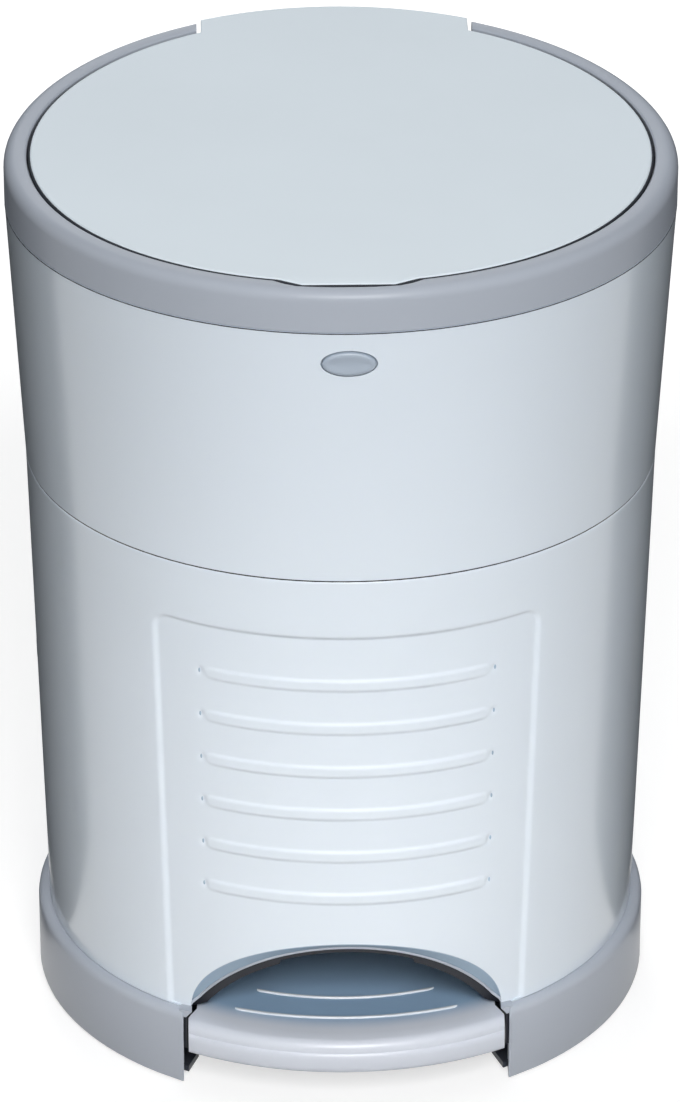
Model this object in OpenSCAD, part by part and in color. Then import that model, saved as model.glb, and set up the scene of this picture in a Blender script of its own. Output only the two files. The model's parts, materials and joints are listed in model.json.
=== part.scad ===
// Pedal-operated nappy bin: two-part body, hinged lid, trap doors and refill ring.
// Units are millimetres, +Z is up, the front faces -Y, and the origin is the centre
// of the footprint on the floor.

/* [Body] */
// Outer radius of the body at the top of the base ring
foot_r = 142.2; // [138:0.1:145]
// Widening of the body from the base ring up to the seam
seam_flare = 6.3; // [4:0.1:8]
// Widening of the body from the seam up to the rim
rim_flare = 6.9; // [5:0.1:9]
// Height of the seam above the floor
seam_z = 278; // [265:1:290]
// Height of the upper section, from the seam to the rim
upper_h = 126; // [118:1:134]
// Wall thickness of both body sections
wall = 2.8; // [2:0.1:3.5]
// Thickness of the bucket floor
floor_t = 2.5; // [2:0.1:4]
// Height of the bucket floor's underside
floor_z = 50; // [46:0.5:60]
// Gap between the two sections at the seam
seam_gap = 0.6; // [0.4:0.1:1.2]

/* [Base ring] */
// Height of the base ring
ring_h = 39; // [34:0.5:42]
// How far the base ring stands out beyond the body
ring_proud = 5.6; // [4:0.1:8]
// Gap between the base ring and each side of the pedal
ring_side_gap = 2.4; // [1.5:0.1:3]
// Lowest edge of the base ring above the floor
ring_z = 1; // [0.5:0.1:2]

/* [Front panel] */
// Half width of the recessed front panel at the base ring
panel_w = 83.2; // [80:0.1:88]
// Widening of the panel up to its top
panel_flare = 4.8; // [0:0.1:8]
// Distance from the panel's top down from the seam
panel_drop = 29.5; // [20:0.5:40]
// Depth of the recessed panel
panel_d = 1.4; // [0.8:0.1:1.6]
// Corner radius of the panel
panel_corner = 7; // [3:0.5:12]
// Number of moulded ribs on the panel
rib_count = 6; // [3:1:7]
// Gap from the arch to the middle of the lowest rib
rib_low = 24.6; // [20:0.1:30]
// Gap from the middle of the highest rib to the panel's top
rib_high = 25; // [20:0.1:30]
// Half height of a rib
rib_r = 3.3; // [2.5:0.1:4]
// How far a rib stands out of the panel
rib_proud = 1.65; // [1:0.05:2]
// Half length of a rib along the panel, between its round ends
rib_half = 62.7; // [50:0.1:68]

/* [Foot arch] */
// Rise of the arch above the base ring
arch_rise = 46.4; // [42:0.1:48]
// Depth of the bevel around the arch
bevel_d = 5; // [4:0.1:6]
// Drop of the arched trim below the top of the arch
trim_drop = 3.5; // [2.5:0.1:5]
// Thickness of the arched trim
trim_t = 2.2; // [1.6:0.1:3]
// Depth of the pedal niche behind the front wall
niche_depth = 86; // [80:1:90]
// Wall thickness of the pedal hood
hood_t = 2.2; // [1.6:0.1:3]

/* [Rim and lid] */
// How far the rim stands out beyond the body
rim_proud = 0.1; // [0:0.1:2]
// Width of the rim's top face
rim_w = 10.6; // [9.5:0.1:13]
// Height of the rim at the front
rim_h = 20; // [18:0.5:24]
// Rise of the rim's top face from front to back
rear_rise = 12; // [10:0.5:14]
// Gap around the lid
lid_gap = 1.6; // [1:0.1:2.5]
// Thickness of the lid panel
lid_t = 2.6; // [2:0.1:3]
// Half width of the lid's rear flap
flap_w = 64.2; // [55:0.1:72]
// Half width of the lid's finger tab at its root
tab_w = 32; // [26:0.5:40]
// Half width of the tab's straight front edge
tab_tip_w = 18.5; // [14:0.5:24]
// Rounding of the rim's outer top edge
rim_round = 4.5; // [3:0.1:6]

/* [Upper section] */
// Width of the flat ledge between the rim and the funnel's mouth
ledge_w = 30.5; // [28:0.5:36]
// Width of the funnel's slope from its mouth to its neck
slope_w = 49; // [44:0.5:54]
// Depth of the funnel's neck below the rim
neck_drop = 31; // [29:0.5:33]
// Thickness of the funnel's wall and flange
funnel_t = 2.5; // [2:0.1:3]
// Thickness of a trap door
trap_t = 2.5; // [2:0.1:3]
// Width of the release button
button_w = 24; // [18:0.5:28]
// Height of the release button
button_h = 11.5; // [8:0.1:14]
// Distance of the button's centre below the rim
button_drop = 15; // [13:0.5:18]
// Travel of the release button
button_travel = 3; // [2:0.1:3.5]

/* [Pedal and linkage] */
// Half width of the pedal
pedal_w = 74.6; // [70:0.1:76]
// How far the pedal's curved front stands out beyond the body
pedal_proud = 7.8; // [4:0.1:9]
// Height of the pedal's underside
pedal_z = 19.5; // [18:0.5:21]
// Height of the pedal's tread
pedal_top = 37; // [36:0.5:37.5]
// Distance of the pedal's pivot behind the niche
pivot_back = 31; // [28:0.5:36]
// Distance of the push rod in from the body's outside
rod_inset = 10.2; // [9.8:0.1:11]
// Radius of the push rod and of the lifter
rod_r = 3; // [2.5:0.1:3.2]
// Length of the linkage's stroke
stroke = 15; // [14:0.1:15.2]
// Radius from the lid's hinge to the crank's cross pin
crank_r = 12.6; // [12.4:0.1:13]
// Height of the lid's hinge axis above the rim's lower edge
hinge_up = 18; // [17:0.5:19]
// Distance of the lid's hinge axis in from the rim's outside
hinge_inset = 9.5; // [9:0.1:10.5]

/* [Refill ring] */
// Gap between the refill ring and the body's outside
refill_inset = 21.2; // [20:0.1:26]
// Width of the refill ring
refill_w = 29; // [24:0.5:32]
// Height of the refill ring
refill_h = 26; // [20:0.5:28]

/* [Clearances] */
// Gap between parts that are seated on each other
seat_gap = 0.2; // [0.1:0.05:0.3]
// Radial running clearance of a shaft in its bore
run_gap = 0.05; // [0.02:0.01:0.1]
// Gap between moving parts
move_gap = 0.7; // [0.5:0.1:1]

/* [Hidden] */
$fn = 128;
big = 600;

// Main radii and heights that follow from the sizes above
seam_r = foot_r + seam_flare;
top_r = seam_r + rim_flare;
rim_z = seam_z + upper_h;
rim_r = top_r + rim_proud;
rim_hole_r = rim_r - rim_w;
front_z = rim_z + rim_h;
mouth_r = rim_r - ledge_w;
neck_r = mouth_r - slope_w;
neck_z = rim_z - neck_drop;
button_z = rim_z - button_drop;
hinge_z = rim_z + hinge_up;
hinge_y = rim_r - hinge_inset;
pedal_r = foot_r + pedal_proud;
rod_y = foot_r - rod_inset;
refill_r = foot_r - refill_inset;
refill_hole_r = refill_r - refill_w;
panel_top = seam_z - panel_drop;
rib_z = ring_h + arch_rise + rib_low;
rib_pitch = (panel_top - rib_high - rib_z) / (rib_count - 1);
ring_gap_w = pedal_w + ring_side_gap;

// Body section heights and radii
plinth_z = 6;
function lower_r(z) = foot_r + (seam_r - foot_r) * (z - ring_h) / (seam_z - ring_h);
function upper_r(z) = seam_r + (top_r - seam_r) * (z - seam_z) / (rim_z - seam_z);
plinth_r = foot_r - 0.6;
ring_in = plinth_r + seat_gap;
ring_out = foot_r + ring_proud;
ring_flange_r = foot_r - 8.2;
ring_flange_t = 2;
plate_z = ring_z + ring_flange_t;
plate_t = plinth_z - plate_z;

// Lid and rim top surface: one long arc that rises to the back
top_y0 = -(rim_r - 13.5);
top_span = rim_r - 1 - top_y0;
arc_r = (top_span * top_span + rear_rise * rear_rise) / (2 * rear_rise);
function top_z(y) = front_z + arc_r - sqrt(arc_r * arc_r - (y - top_y0) * (y - top_y0));
lid_r = rim_hole_r - lid_gap;
flap_gap = 2;
tab_reach = 3;
tab_y = -(lid_r + tab_reach);
barrel_r = rim_r - 0.2 - hinge_y;
sill_z = hinge_z - barrel_r - 0.7;
rim_band_in = rim_r - wall;
upstand_r = rim_band_in - 0.3;
upstand_top = rim_z + 4.5;
flange_z = upstand_top;
flange_top = flange_z + funnel_t;

// Tilt hinge of the upper section
tilt_y = seam_r + 0.8;
knuckle_r = 4.5;
tilt_pin_r = 2;
knuckle_a = 10;
knuckle_b = 24.7;
knuckle_c = 40;
side_gap = 0.3;
lug_h = 14;

// Pedal linkage
niche_back = niche_depth - foot_r;
pivot_y = niche_back + pivot_back;
pivot_z = 20;
pivot_r = 3;
lever_w = 12;
bump_r = 4;
rod_foot_z = pivot_z + 3 + seat_gap + 0.1;
rod_top_z = seam_z - 0.6;
lifter_foot_z = rod_top_z + 0.3;
crank_sag = 18;
crank_y = hinge_y - crank_r * cos(crank_sag);
crank_z = hinge_z - crank_r * sin(crank_sag);
crank_pin_r = 2;
pad_top = crank_z - crank_pin_r - 0.3;
pad_t = 6;
pad_w = 4;
pad_front = rod_y - rod_r + 0.5;
pad_back = crank_y + 7.7;
hinge_pin_r = 2;
arm_in = 13;
arm_out = 20;
knuckle_in = 21.5;
knuckle_out = 29.5;

// Pedal
tread_t = 3;
tread_round = 8;
pedal_back = niche_back - 6;
waist_w = pedal_w - 4.1;
waist_r = foot_r - 2.4;
leg_gap = 0.9;
hood_leg = pedal_w + leg_gap;
hood_out = hood_leg + hood_t;
lever_front = 14 - pedal_r;

// Foot arch: an ellipse in the body, and a flatter round arc for the trim behind it
arch_w = pedal_w - 0.6;
trim_top = ring_h + arch_rise - trim_drop;
trim_foot = ring_h - 3;
trim_r = (pow(pedal_w + 0.2, 2) + pow(trim_top - trim_foot, 2)) / (2 * (trim_top - trim_foot));
trim_c = trim_top - trim_r;
trim_front = foot_r - bevel_d - seat_gap;
trim_deep = 3;

// Trap doors
trap_r = neck_r + 1.5;
trap_top = neck_z - 0.5;
trap_x = neck_r + 3;
trap_z = trap_top - trap_t - 2;
trap_pin_r = 1.5;
trap_boss_r = 3;
frame_in = trap_r + 2.5;
frame_slot = trap_x + 5.4;
frame_out = frame_in + 7;
frame_h = 13;

// Refill ring and its tray
tray_z = seam_z - 40;
tray_t = 3;
tray_neck_r = refill_hole_r - 4;
refill_z = tray_z + tray_t;
refill_t = 2;

// Latch
bar_y = 8.5 - seam_r;
bar_t = 2.5;
bar_w = 6;
bar_foot = seam_z - 13.6;
strike_reach = 4.4;
strike_z = seam_z - 9;
strike_t = 4;
strike_w = 12;
nose_clear = 0.7;

// Side grips
grip_z = 155;
grip_h = 34;
grip_arc = 44;
grip_turn = 118;
grip_proud = 4.3;

// ---------------------------------------------------------------- helpers

// Tube or cone shell between two heights, from its four corner radii
module ring_shell(z0, z1, outer0, outer1, inner0, inner1) {
    rotate_extrude()
        polygon([[inner0, z0], [outer0, z0], [outer1, z1], [inner1, z1]]);
}

// Flat ring
module ring(outer, inner, z0, h) {
    translate([0, 0, z0])
        difference() {
            cylinder(r = outer, h = h);
            translate([0, 0, -1]) cylinder(r = inner, h = h + 2);
        }
}

// Cylinder along X between two places
module rod_x(r, x0, x1, y, z) {
    translate([x0, y, z]) rotate([0, 90, 0]) cylinder(r = r, h = x1 - x0, $fn = 64);
}

// Cylinder along Y between two places
module rod_y_axis(r, y0, y1, x, z) {
    translate([x, y0, z]) rotate([-90, 0, 0]) cylinder(r = r, h = y1 - y0, $fn = 64);
}

// Box from its low corner to its high corner
module box(a, b) {
    translate(a) cube(b - a);
}

// The same thing on both sides of the middle
module both_sides() {
    children();
    mirror([1, 0, 0]) children();
}

// Everything below the long arc of the lid's top, dropped by a depth
module under_arc(depth) {
    steps = 24;
    span = 2 * rim_r + 2;
    rotate([90, 0, 90])
        translate([0, 0, -rim_r])
            linear_extrude(2 * rim_r)
                polygon(concat(
                    [[-span / 2, rim_z - 60]], [[span / 2, rim_z - 60]],
                    [for (k = [steps:-1:0]) let (y = -span / 2 + span * k / steps) [y, top_z(y) - depth]]
                ));
}

// Half ellipse outline over the pedal, standing on the base ring's top line
module arch_outline(w, rise) {
    polygon([for (a = [0:3:180]) [w * cos(a), ring_h + rise * sin(a)]]);
}

// Flatter round arc behind the arch, standing on the same line
module arc_outline(r) {
    intersection() {
        translate([0, trim_c]) circle(r = r, $fn = 256);
        translate([-big / 2, ring_h]) square([big, big]);
    }
}

// Closed skin over a row of loops that all have the same number of points
module loft(loops) {
    n = len(loops[0]);
    m = len(loops);
    points = concat([for (q = loops, p = q) p], [mean(loops[0]), mean(loops[m - 1])]);
    polyhedron(points, concat(
        [for (k = [0:m - 2], i = [0:n - 1])
            let (j = (i + 1) % n) [k * n + i, k * n + j, k * n + n + j]],
        [for (k = [0:m - 2], i = [0:n - 1])
            let (j = (i + 1) % n) [k * n + i, k * n + n + j, k * n + n + i]],
        [for (i = [0:n - 1]) [m * n, (i + 1) % n, i]],
        [for (i = [0:n - 1]) [m * n + 1, (m - 1) * n + i, (m - 1) * n + (i + 1) % n]]
    ), convexity = 10);
}

function mean(q, i = 0) = i == len(q) - 1 ? q[i] / len(q) : q[i] / len(q) + mean(q, i + 1);

// Outline in the front view, extruded along Y
module front_extrude(y0, y1) {
    translate([0, y1, 0]) rotate([90, 0, 0]) linear_extrude(y1 - y0) children();
}

// Coil spring along Z with closed ends
function coil_ring(r, wire, a, z, sides) = [
    for (i = [0:sides - 1])
        let (b = 360 * i / sides, q = r + wire * cos(b))
            [q * cos(a), q * sin(a), z + wire * sin(b)]
];

module coil(r, wire, len, turns, steps = 14, sides = 6) {
    n = turns * steps;
    rise = len - 2 * wire;
    rings = [for (k = [0:n]) coil_ring(r, wire, 360 * k / steps, wire + rise * k / n, sides)];
    points = [for (q = rings, p = q) p];
    skin = [
        for (k = [0:n - 1], i = [0:sides - 1])
            let (a = k * sides, j = (i + 1) % sides)
                [a + i, a + j, a + sides + j, a + sides + i]
    ];
    // the walls are wound so that every face looks outward
    polyhedron(points, concat([for (f = skin) [f[0], f[3], f[2], f[1]]], [[for (i = [0:sides - 1]) i]],
        [[for (i = [sides - 1:-1:0]) n * sides + i]]), convexity = 10);
}

// ---------------------------------------------------------------- base section

module panel_prism() {
    w0 = panel_w - 3;
    w1 = panel_w + panel_flare;
    c = panel_corner;
    front_extrude(-big / 2, -foot_r / 2)
        polygon(concat(
            [[-w0, -20], [w0, -20], [panel_w, ring_h], [w1, panel_top - c]],
            [for (a = [15:15:90]) [w1 - c + c * cos(a), panel_top - c + c * sin(a)]],
            [for (a = [90:15:180]) [c - w1 + c * cos(a), panel_top - c + c * sin(a)]],
            [[-panel_w, ring_h]]
        ));
}

module rib(z) {
    r = lower_r(z) - panel_d;
    intersection() {
        rotate_extrude()
            polygon(concat([[r - 1, z - rib_r]],
                [for (a = [-90:22.5:90]) [r + rib_proud * cos(a), z + rib_r * sin(a)]],
                [[r - 1, z + rib_r]]));
        front_extrude(-big / 2, -foot_r / 2) {
            translate([-rib_half, z - rib_r]) square([2 * rib_half, 2 * rib_r]);
            for (s = [-1, 1]) translate([s * rib_half, z]) circle(r = rib_r, $fn = 32);
        }
    }
}

// Side grip, a raised band along the wall with soft upper and lower edges
module grip() {
    h = grip_h / 2;
    steps = [
        [-1, -h], [0.4, -h], [grip_proud * 0.65, 2 - h], [grip_proud, 5 - h],
        [grip_proud, h - 9], [grip_proud * 0.65, h - 3], [0.4, h], [-1, h]
    ];
    rotate([0, 0, grip_turn - 90 - grip_arc / 2])
        rotate_extrude(angle = grip_arc)
            polygon([for (p = steps) [lower_r(grip_z + p[1]) + p[0], grip_z + p[1]]]);
}

// Way of the foot through the front wall, with its bevel
module arch_way() {
    w = sqrt(pow(trim_r + seat_gap, 2) - pow(ring_h - trim_c, 2));
    turns = [for (a = [0:4:180]) a];
    wide = [for (a = turns) [arch_w * cos(a), ring_h + arch_rise * sin(a)]];
    flat = [for (a = turns) [w * cos(a), trim_c + sqrt(pow(trim_r + seat_gap, 2) - pow(w * cos(a), 2))]];
    loft([
        [for (p = wide) [p[0], -big / 2, p[1]]],
        [for (p = wide) [p[0], -sqrt(pow(lower_r(p[1]) + 0.3, 2) - p[0] * p[0]), p[1]]],
        [for (p = flat) [p[0], -sqrt(pow(lower_r(p[1]) - bevel_d - seat_gap, 2) - p[0] * p[0]), p[1]]],
        [for (p = flat) [p[0], niche_back, p[1]]]
    ]);
}

// Hinge knuckle with a gusset that runs out into the wall, above or below the seam
module tilt_lug(x0, x1, side) {
    rod_x(knuckle_r, x0, x1, tilt_y, seam_z);
    translate([x0, 0, seam_z]) rotate([90, 0, 90])
        linear_extrude(x1 - x0)
            polygon([
                [tilt_y - knuckle_r, 0], [tilt_y + knuckle_r, 0], [tilt_y + knuckle_r - 1.4, side * 3.4],
                [tilt_y + knuckle_r - 5.5, side * lug_h], [tilt_y - knuckle_r, side * lug_h]
            ]);
}

module lower_shell() {
    color("gainsboro")
    difference() {
        union() {
            difference() {
                union() {
                    ring_shell(ring_h, seam_z, foot_r, seam_r, foot_r - wall, seam_r - wall);
                    ring_shell(plinth_z, ring_h, plinth_r, plinth_r, foot_r - wall, foot_r - wall);
                    translate([0, 0, floor_z]) cylinder(r = lower_r(floor_z) - wall + 0.4, h = floor_t);
                    // ledge for the refill tray, open at the rod's channel
                    difference() {
                        ring(lower_r(tray_z) - wall + 0.4, lower_r(tray_z) - wall - 4, tray_z - 3, 3);
                        box([-channel_w - seat_gap, 0, tray_z - 4], [channel_w + seat_gap, big, tray_z + 1]);
                    }
                    both_sides() grip();
                    // collar behind the arch
                    intersection() {
                        ring_shell(ring_h, seam_z, foot_r - 1, seam_r - 1, foot_r - bevel_d, seam_r - bevel_d);
                        front_extrude(-big / 2, 0) arch_outline(arch_w + 3, arch_rise + 3);
                    }
                }
                intersection() {
                    panel_prism();
                    ring_shell(ring_h - 1, seam_z, foot_r + 9, seam_r + 9,
                        lower_r(ring_h - 1) - panel_d, seam_r - panel_d);
                }
            }
            for (i = [0:rib_count - 1]) rib(rib_z + i * rib_pitch);
            both_sides() tilt_lug(knuckle_b, knuckle_c, -1);
            // strike for the latch, below the seam at the front
            intersection() {
                box([-strike_w, -seam_r, strike_z], [strike_w, -(seam_r - wall - strike_reach), strike_z + strike_t]);
                cylinder(r = lower_r(strike_z) - 1, h = big);
            }
        }
        // the arch, and the way of the pedal and its hood below it
        arch_way();
        box([-(hood_out + seat_gap), -big / 2, -1], [hood_out + seat_gap, niche_back, ring_h + 0.01]);
        intersection() {
            box([-(hood_out + seat_gap), -big / 2, 0], [hood_out + seat_gap, niche_back, ring_h + hood_t]);
            cylinder(r = foot_r - bevel_d, h = big);
        }
        // push rod's hole through the bucket floor
        translate([0, rod_y, floor_z - 1]) cylinder(r = rod_r + move_gap, h = floor_t + 2, $fn = 48);
        // hinge: hollows for the upper section's knuckles, and the pin's bore
        both_sides() rod_x(knuckle_r + move_gap, knuckle_a - side_gap, knuckle_b, tilt_y, seam_z);
        rod_x(tilt_pin_r, -50, 50, tilt_y, seam_z);
        both_sides() box([knuckle_b - 1, seam_r / 2, seam_z - lug_h - 16],
            [knuckle_c + 1, lower_r(seam_z - 30) - wall - 4.5, seam_z + 9]);
    }
}

module base_ring() {
    color("darkgray") {
        ring_band();
        arch_trim();
    }
}

// The ring itself, open where the pedal passes
module ring_band() {
    difference() {
        rotate_extrude()
            polygon([
                [ring_flange_r, ring_z], [ring_out - 1.5, ring_z], [ring_out, ring_z + 1.5],
                [ring_out, ring_h - 3], [ring_out - 0.9, ring_h - 0.9], [ring_out - 3, ring_h],
                [foot_r + 0.6, ring_h], [ring_in, ring_h - 1.2], [ring_in, plate_z], [ring_flange_r, plate_z]
            ]);
        box([-ring_gap_w, -big / 2, -1], [ring_gap_w, -foot_r / 2, ring_h + 1]);
    }
}

// Arched trim over the pedal, with feet that reach out to the base ring
module arch_trim() {
    foot_z = pedal_z + 1;
    intersection() {
        front_extrude(-big / 2, -foot_r / 2)
            difference() {
                arc_outline(trim_r);
                arc_outline(trim_r - trim_t);
            }
        ring_shell(ring_h, seam_z, trim_front, trim_front + seam_flare,
            trim_front - trim_deep, trim_front - trim_deep + seam_flare);
    }
    both_sides() {
        intersection() {
            box([pedal_w - 3.2, -big / 2, foot_z], [hood_out, 0, ring_h + 0.5]);
            ring(trim_front, trim_front - trim_deep, 0, big);
        }
        intersection() {
            box([pedal_w + 0.7, -big / 2, foot_z], [hood_out, 0, ring_h - 0.5]);
            ring(ring_out - 1.5, trim_front - trim_deep, 0, big);
        }
    }
}

module pedal_hood() {
    back = niche_back - seat_gap;
    front_r = trim_front - trim_deep - seat_gap;
    color("slategray")
    difference() {
        union() {
            intersection() {
                front_extrude(-big / 2, back) arc_outline(trim_r);
                ring_shell(ring_h, seam_z, front_r, front_r + seam_flare, 0, 0);
            }
            intersection() {
                box([-hood_out, -big / 2, plinth_z], [hood_out, back, ring_h + hood_t - seat_gap]);
                cylinder(r = front_r, h = big);
            }
        }
        // the niche: lower at its shoulders than in the middle
        front_extrude(-big / 2, back - hood_t) {
            arc_outline(trim_r - hood_t - 2.4);
            intersection() {
                arc_outline(trim_r - hood_t - 0.8);
                translate([-shoulder_x, 0]) square([2 * shoulder_x, big]);
            }
        }
        box([-hood_leg, -big / 2, 0], [hood_leg, back - hood_t, ring_h - 0.2]);
        box([-(waist_w - 8), -big / 2, ring_h - 1], [waist_w - 8, back - hood_t, ring_h + 1]);
        // the lever's way through the back wall
        box([-lever_w - 1.5, back - hood_t - 1, 0], [lever_w + 1.5, back + 1, pivot_z + 7]);
    }
}
shoulder_x = 31;

module base_plate() {
    color("dimgray")
    difference() {
        union() {
            translate([0, 0, plate_z]) cylinder(r = plinth_r - 0.6, h = plate_t);
            both_sides() {
                box([lever_w + 1, pivot_y - 7, plinth_z - 1], [lever_w + 6, pivot_y + 7, pivot_z]);
                rod_x(7, lever_w + 1, lever_w + 6, pivot_y, pivot_z);
            }
            for (y = [30, 80])
                box([-60, y - 1, plinth_z - 1], [60, y + 1, plinth_z + 5]);
        }
        // open under the pedal, narrower towards the back
        translate([0, 0, plate_z - 1])
            linear_extrude(plate_t + 2)
                polygon([[-ring_gap_w, -big / 2], [ring_gap_w, -big / 2], [ring_gap_w, -(foot_r - 16)],
                    [waist_w - 0.5, -(foot_r - 36)], [waist_w - 7, niche_back - 8],
                    [7 - waist_w, niche_back - 8], [0.5 - waist_w, -(foot_r - 36)], [-ring_gap_w, -(foot_r - 16)]]);
        rod_x(pivot_r, -60, 60, pivot_y, pivot_z);
        for (p = screw_places) translate([p[0], p[1], 0]) cylinder(r = 2.1, h = 20, $fn = 32);
    }
}

foot_h = 3;
foot_pad_r = 9;
foot_at = ring_flange_r - foot_pad_r - 1;
screw_at = foot_r - 25;
foot_places = [for (a = [-37, 45, 135, 217]) foot_at * [cos(a), sin(a)]];
screw_places = [for (a = [0, 70, 110, 180]) screw_at * [cos(a), sin(a)]];

module rubber_feet() {
    color("black")
    for (p = foot_places)
        translate([p[0], p[1], 0])
            rotate_extrude() polygon([[0, 0], [foot_pad_r - 0.8, 0], [foot_pad_r, 0.8], [foot_pad_r, foot_h], [0, foot_h]]);
}

module base_screws() {
    color("silver")
    for (p = screw_places)
        translate([p[0], p[1], 0])
            union() {
                translate([0, 0, plate_z - 1.8]) cylinder(r = 3.6, h = 1.8, $fn = 32);
                translate([0, 0, plate_z - 0.5]) cylinder(r = 2, h = 12, $fn = 32);
            }
}

module pedal_pin() {
    color("silver")
    rod_x(pivot_r - run_gap, -(lever_w + 7), lever_w + 7, pivot_y, pivot_z);
}

spring_y = (niche_back + pivot_y - 7) / 2;
spring_top = pivot_z - 3;
module pedal_spring() {
    color("lightgray")
    translate([0, spring_y, plinth_z + 0.1]) coil(5, 0.7, spring_top - plinth_z - 0.3, 4);
}

channel_front = rod_y - 6;
channel_w = 8;
module rod_channel() {
    top = seam_z - 5;
    color("gainsboro")
    difference() {
        union() {
            intersection() {
                box([-channel_w, channel_front, floor_z + floor_t], [channel_w, big, top]);
                ring_shell(floor_z, seam_z, lower_r(floor_z) - wall - seat_gap, seam_r - wall - seat_gap, 0, 0);
            }
        }
        box([-channel_w + 2, channel_front + 2, floor_z + floor_t + 4], [channel_w - 2, big, top - 4]);
        translate([0, rod_y, 0]) cylinder(r = rod_r + run_gap, h = big, $fn = 48);
    }
}

module liner_tray() {
    color("whitesmoke")
    difference() {
        rotate_extrude()
            polygon([
                [tray_neck_r, tray_z - 12], [tray_neck_r + 2, tray_z - 12], [tray_neck_r + 2.6, tray_z],
                [lower_r(tray_z) - wall - 0.4, tray_z], [lower_r(tray_z) - wall - 0.4, tray_z + tray_t],
                [refill_r + 3, tray_z + tray_t], [refill_r + 3, tray_z + tray_t + 8],
                [refill_r + 1, tray_z + tray_t + 8], [refill_r + 1, tray_z + tray_t],
                [tray_neck_r + 2.6, tray_z + tray_t], [tray_neck_r + 2.6, tray_z + tray_t + refill_h - 3],
                [tray_neck_r, tray_z + tray_t + refill_h - 3]
            ]);
        box([-channel_w - seat_gap, channel_front - seat_gap, tray_z - 1],
            [channel_w + seat_gap, big, tray_z + 20]);
    }
}

module refill_cassette() {
    color("lavender")
    rotate_extrude()
        polygon([
            [refill_hole_r, refill_z], [refill_r, refill_z], [refill_r, refill_z + refill_h],
            [refill_hole_r + 5, refill_z + refill_h], [refill_hole_r + 5, refill_z + refill_h - refill_t],
            [refill_r - refill_t, refill_z + refill_h - refill_t], [refill_r - refill_t, refill_z + refill_t],
            [refill_hole_r + refill_t, refill_z + refill_t], [refill_hole_r + refill_t, refill_z + refill_h - 4],
            [refill_hole_r, refill_z + refill_h - 4]
        ]);
}

module liner_film() {
    color("white")
    ring(refill_r - refill_t - 0.3, refill_hole_r + refill_t + 0.3, refill_z + refill_t, refill_h - 3 * refill_t);
}

module tilt_pin() {
    color("silver")
    rod_x(tilt_pin_r - 0.02, -knuckle_c - 0.5, knuckle_c + 0.5, tilt_y, seam_z);
}

// ---------------------------------------------------------------- pedal

// Grip bar: a thin raised arc on the tread, a distance behind the pedal's front
module grip_bar(behind, half) {
    intersection() {
        ring(pedal_r - behind + 1.1, pedal_r - behind - 1.1, pedal_top - 1, 2);
        box([-half, -big / 2, 0], [half, 0, big]);
    }
}

// Upright side of the pedal, thin, between two radii
module pedal_side(w, r0, r1) {
    intersection() {
        both_sides() box([w - 2.5, -big / 2, pedal_z], [w, pedal_back, pedal_top - 0.5]);
        ring(r1, r0, 0, big);
    }
}

module pedal_tread() {
    color("lightslategray")
    intersection() {
        union() {
            // flat skin with a rolled front edge
            rotate_extrude()
                polygon(concat(
                    [[0, pedal_top], [pedal_r - tread_round, pedal_top]],
                    [for (a = [75:-15:0]) [pedal_r - tread_round + tread_round * cos(a),
                        pedal_top - tread_round + tread_round * sin(a)]],
                    [[pedal_r, pedal_z + 1], [pedal_r - 1, pedal_z], [pedal_r - tread_t, pedal_z]],
                    [for (a = [0:15:90]) [pedal_r - tread_round + (tread_round - tread_t) * cos(a),
                        pedal_top - tread_round + (tread_round - tread_t) * sin(a)]],
                    [[0, pedal_top - tread_t]]
                ));
            pedal_side(pedal_w, waist_r - 2.5, pedal_r - 1);
            pedal_side(waist_w, 0, waist_r - 1);
            intersection() {
                both_sides() box([waist_w - 2.5, -big / 2, pedal_z], [pedal_w, 0, pedal_top - 0.5]);
                ring(waist_r, waist_r - 2.5, 0, big);
            }
            grip_bar(20.1, 50);
            grip_bar(42.6, 41);
            // ribs that take the lever
            both_sides() box([lever_w + 0.2, -(pedal_r - 10), pedal_top - 14], [lever_w + 2.2, pedal_back, pedal_top - 1]);
            both_sides() box([lever_w + 0.2, pedal_back - 2.5, pedal_top - 12], [waist_w, pedal_back, pedal_top - 1]);
        }
        union() {
            box([-waist_w, -big / 2, 0], [waist_w, pedal_back, big]);
            difference() {
                box([-pedal_w, -big / 2, 0], [pedal_w, pedal_back, big]);
                translate([0, 0, -1]) cylinder(r = waist_r - 2.5, h = big);
            }
        }
    }
}

module pedal_lever() {
    color("gray")
    difference() {
        union() {
            box([-lever_w, lever_front, pivot_z + 3.2], [lever_w, pedal_back - 0.2, pedal_top - tread_t]);
            box([-lever_w, lever_front + 28, pivot_z - 3], [lever_w, pivot_y + 20, pivot_z + 3]);
            box([-lever_w, lever_front, pivot_z - 3], [lever_w, lever_front + 29, pivot_z + 4]);
            box([-6, pivot_y, pivot_z - 3], [6, rod_y - 1, pivot_z + 2]);
            rod_x(6, -lever_w, lever_w, pivot_y, pivot_z);
            rod_x(bump_r, -7, 7, rod_y, pivot_z - 1);
        }
        rod_x(pivot_r, -60, 60, pivot_y, pivot_z);
        box([-lever_w + 3, lever_front + 3, pivot_z - 4],
            [lever_w - 3, lever_front + 40, pedal_top - tread_t - 3]);
    }
}

module push_rod() {
    color("silver")
    translate([0, rod_y, rod_foot_z]) cylinder(r = rod_r, h = rod_top_z - rod_foot_z, $fn = 48);
}

// ---------------------------------------------------------------- upper section

module oval(w, h) {
    polygon([for (a = [0:6:359]) [w / 2 * cos(a), h / 2 * sin(a)]]);
}

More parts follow.
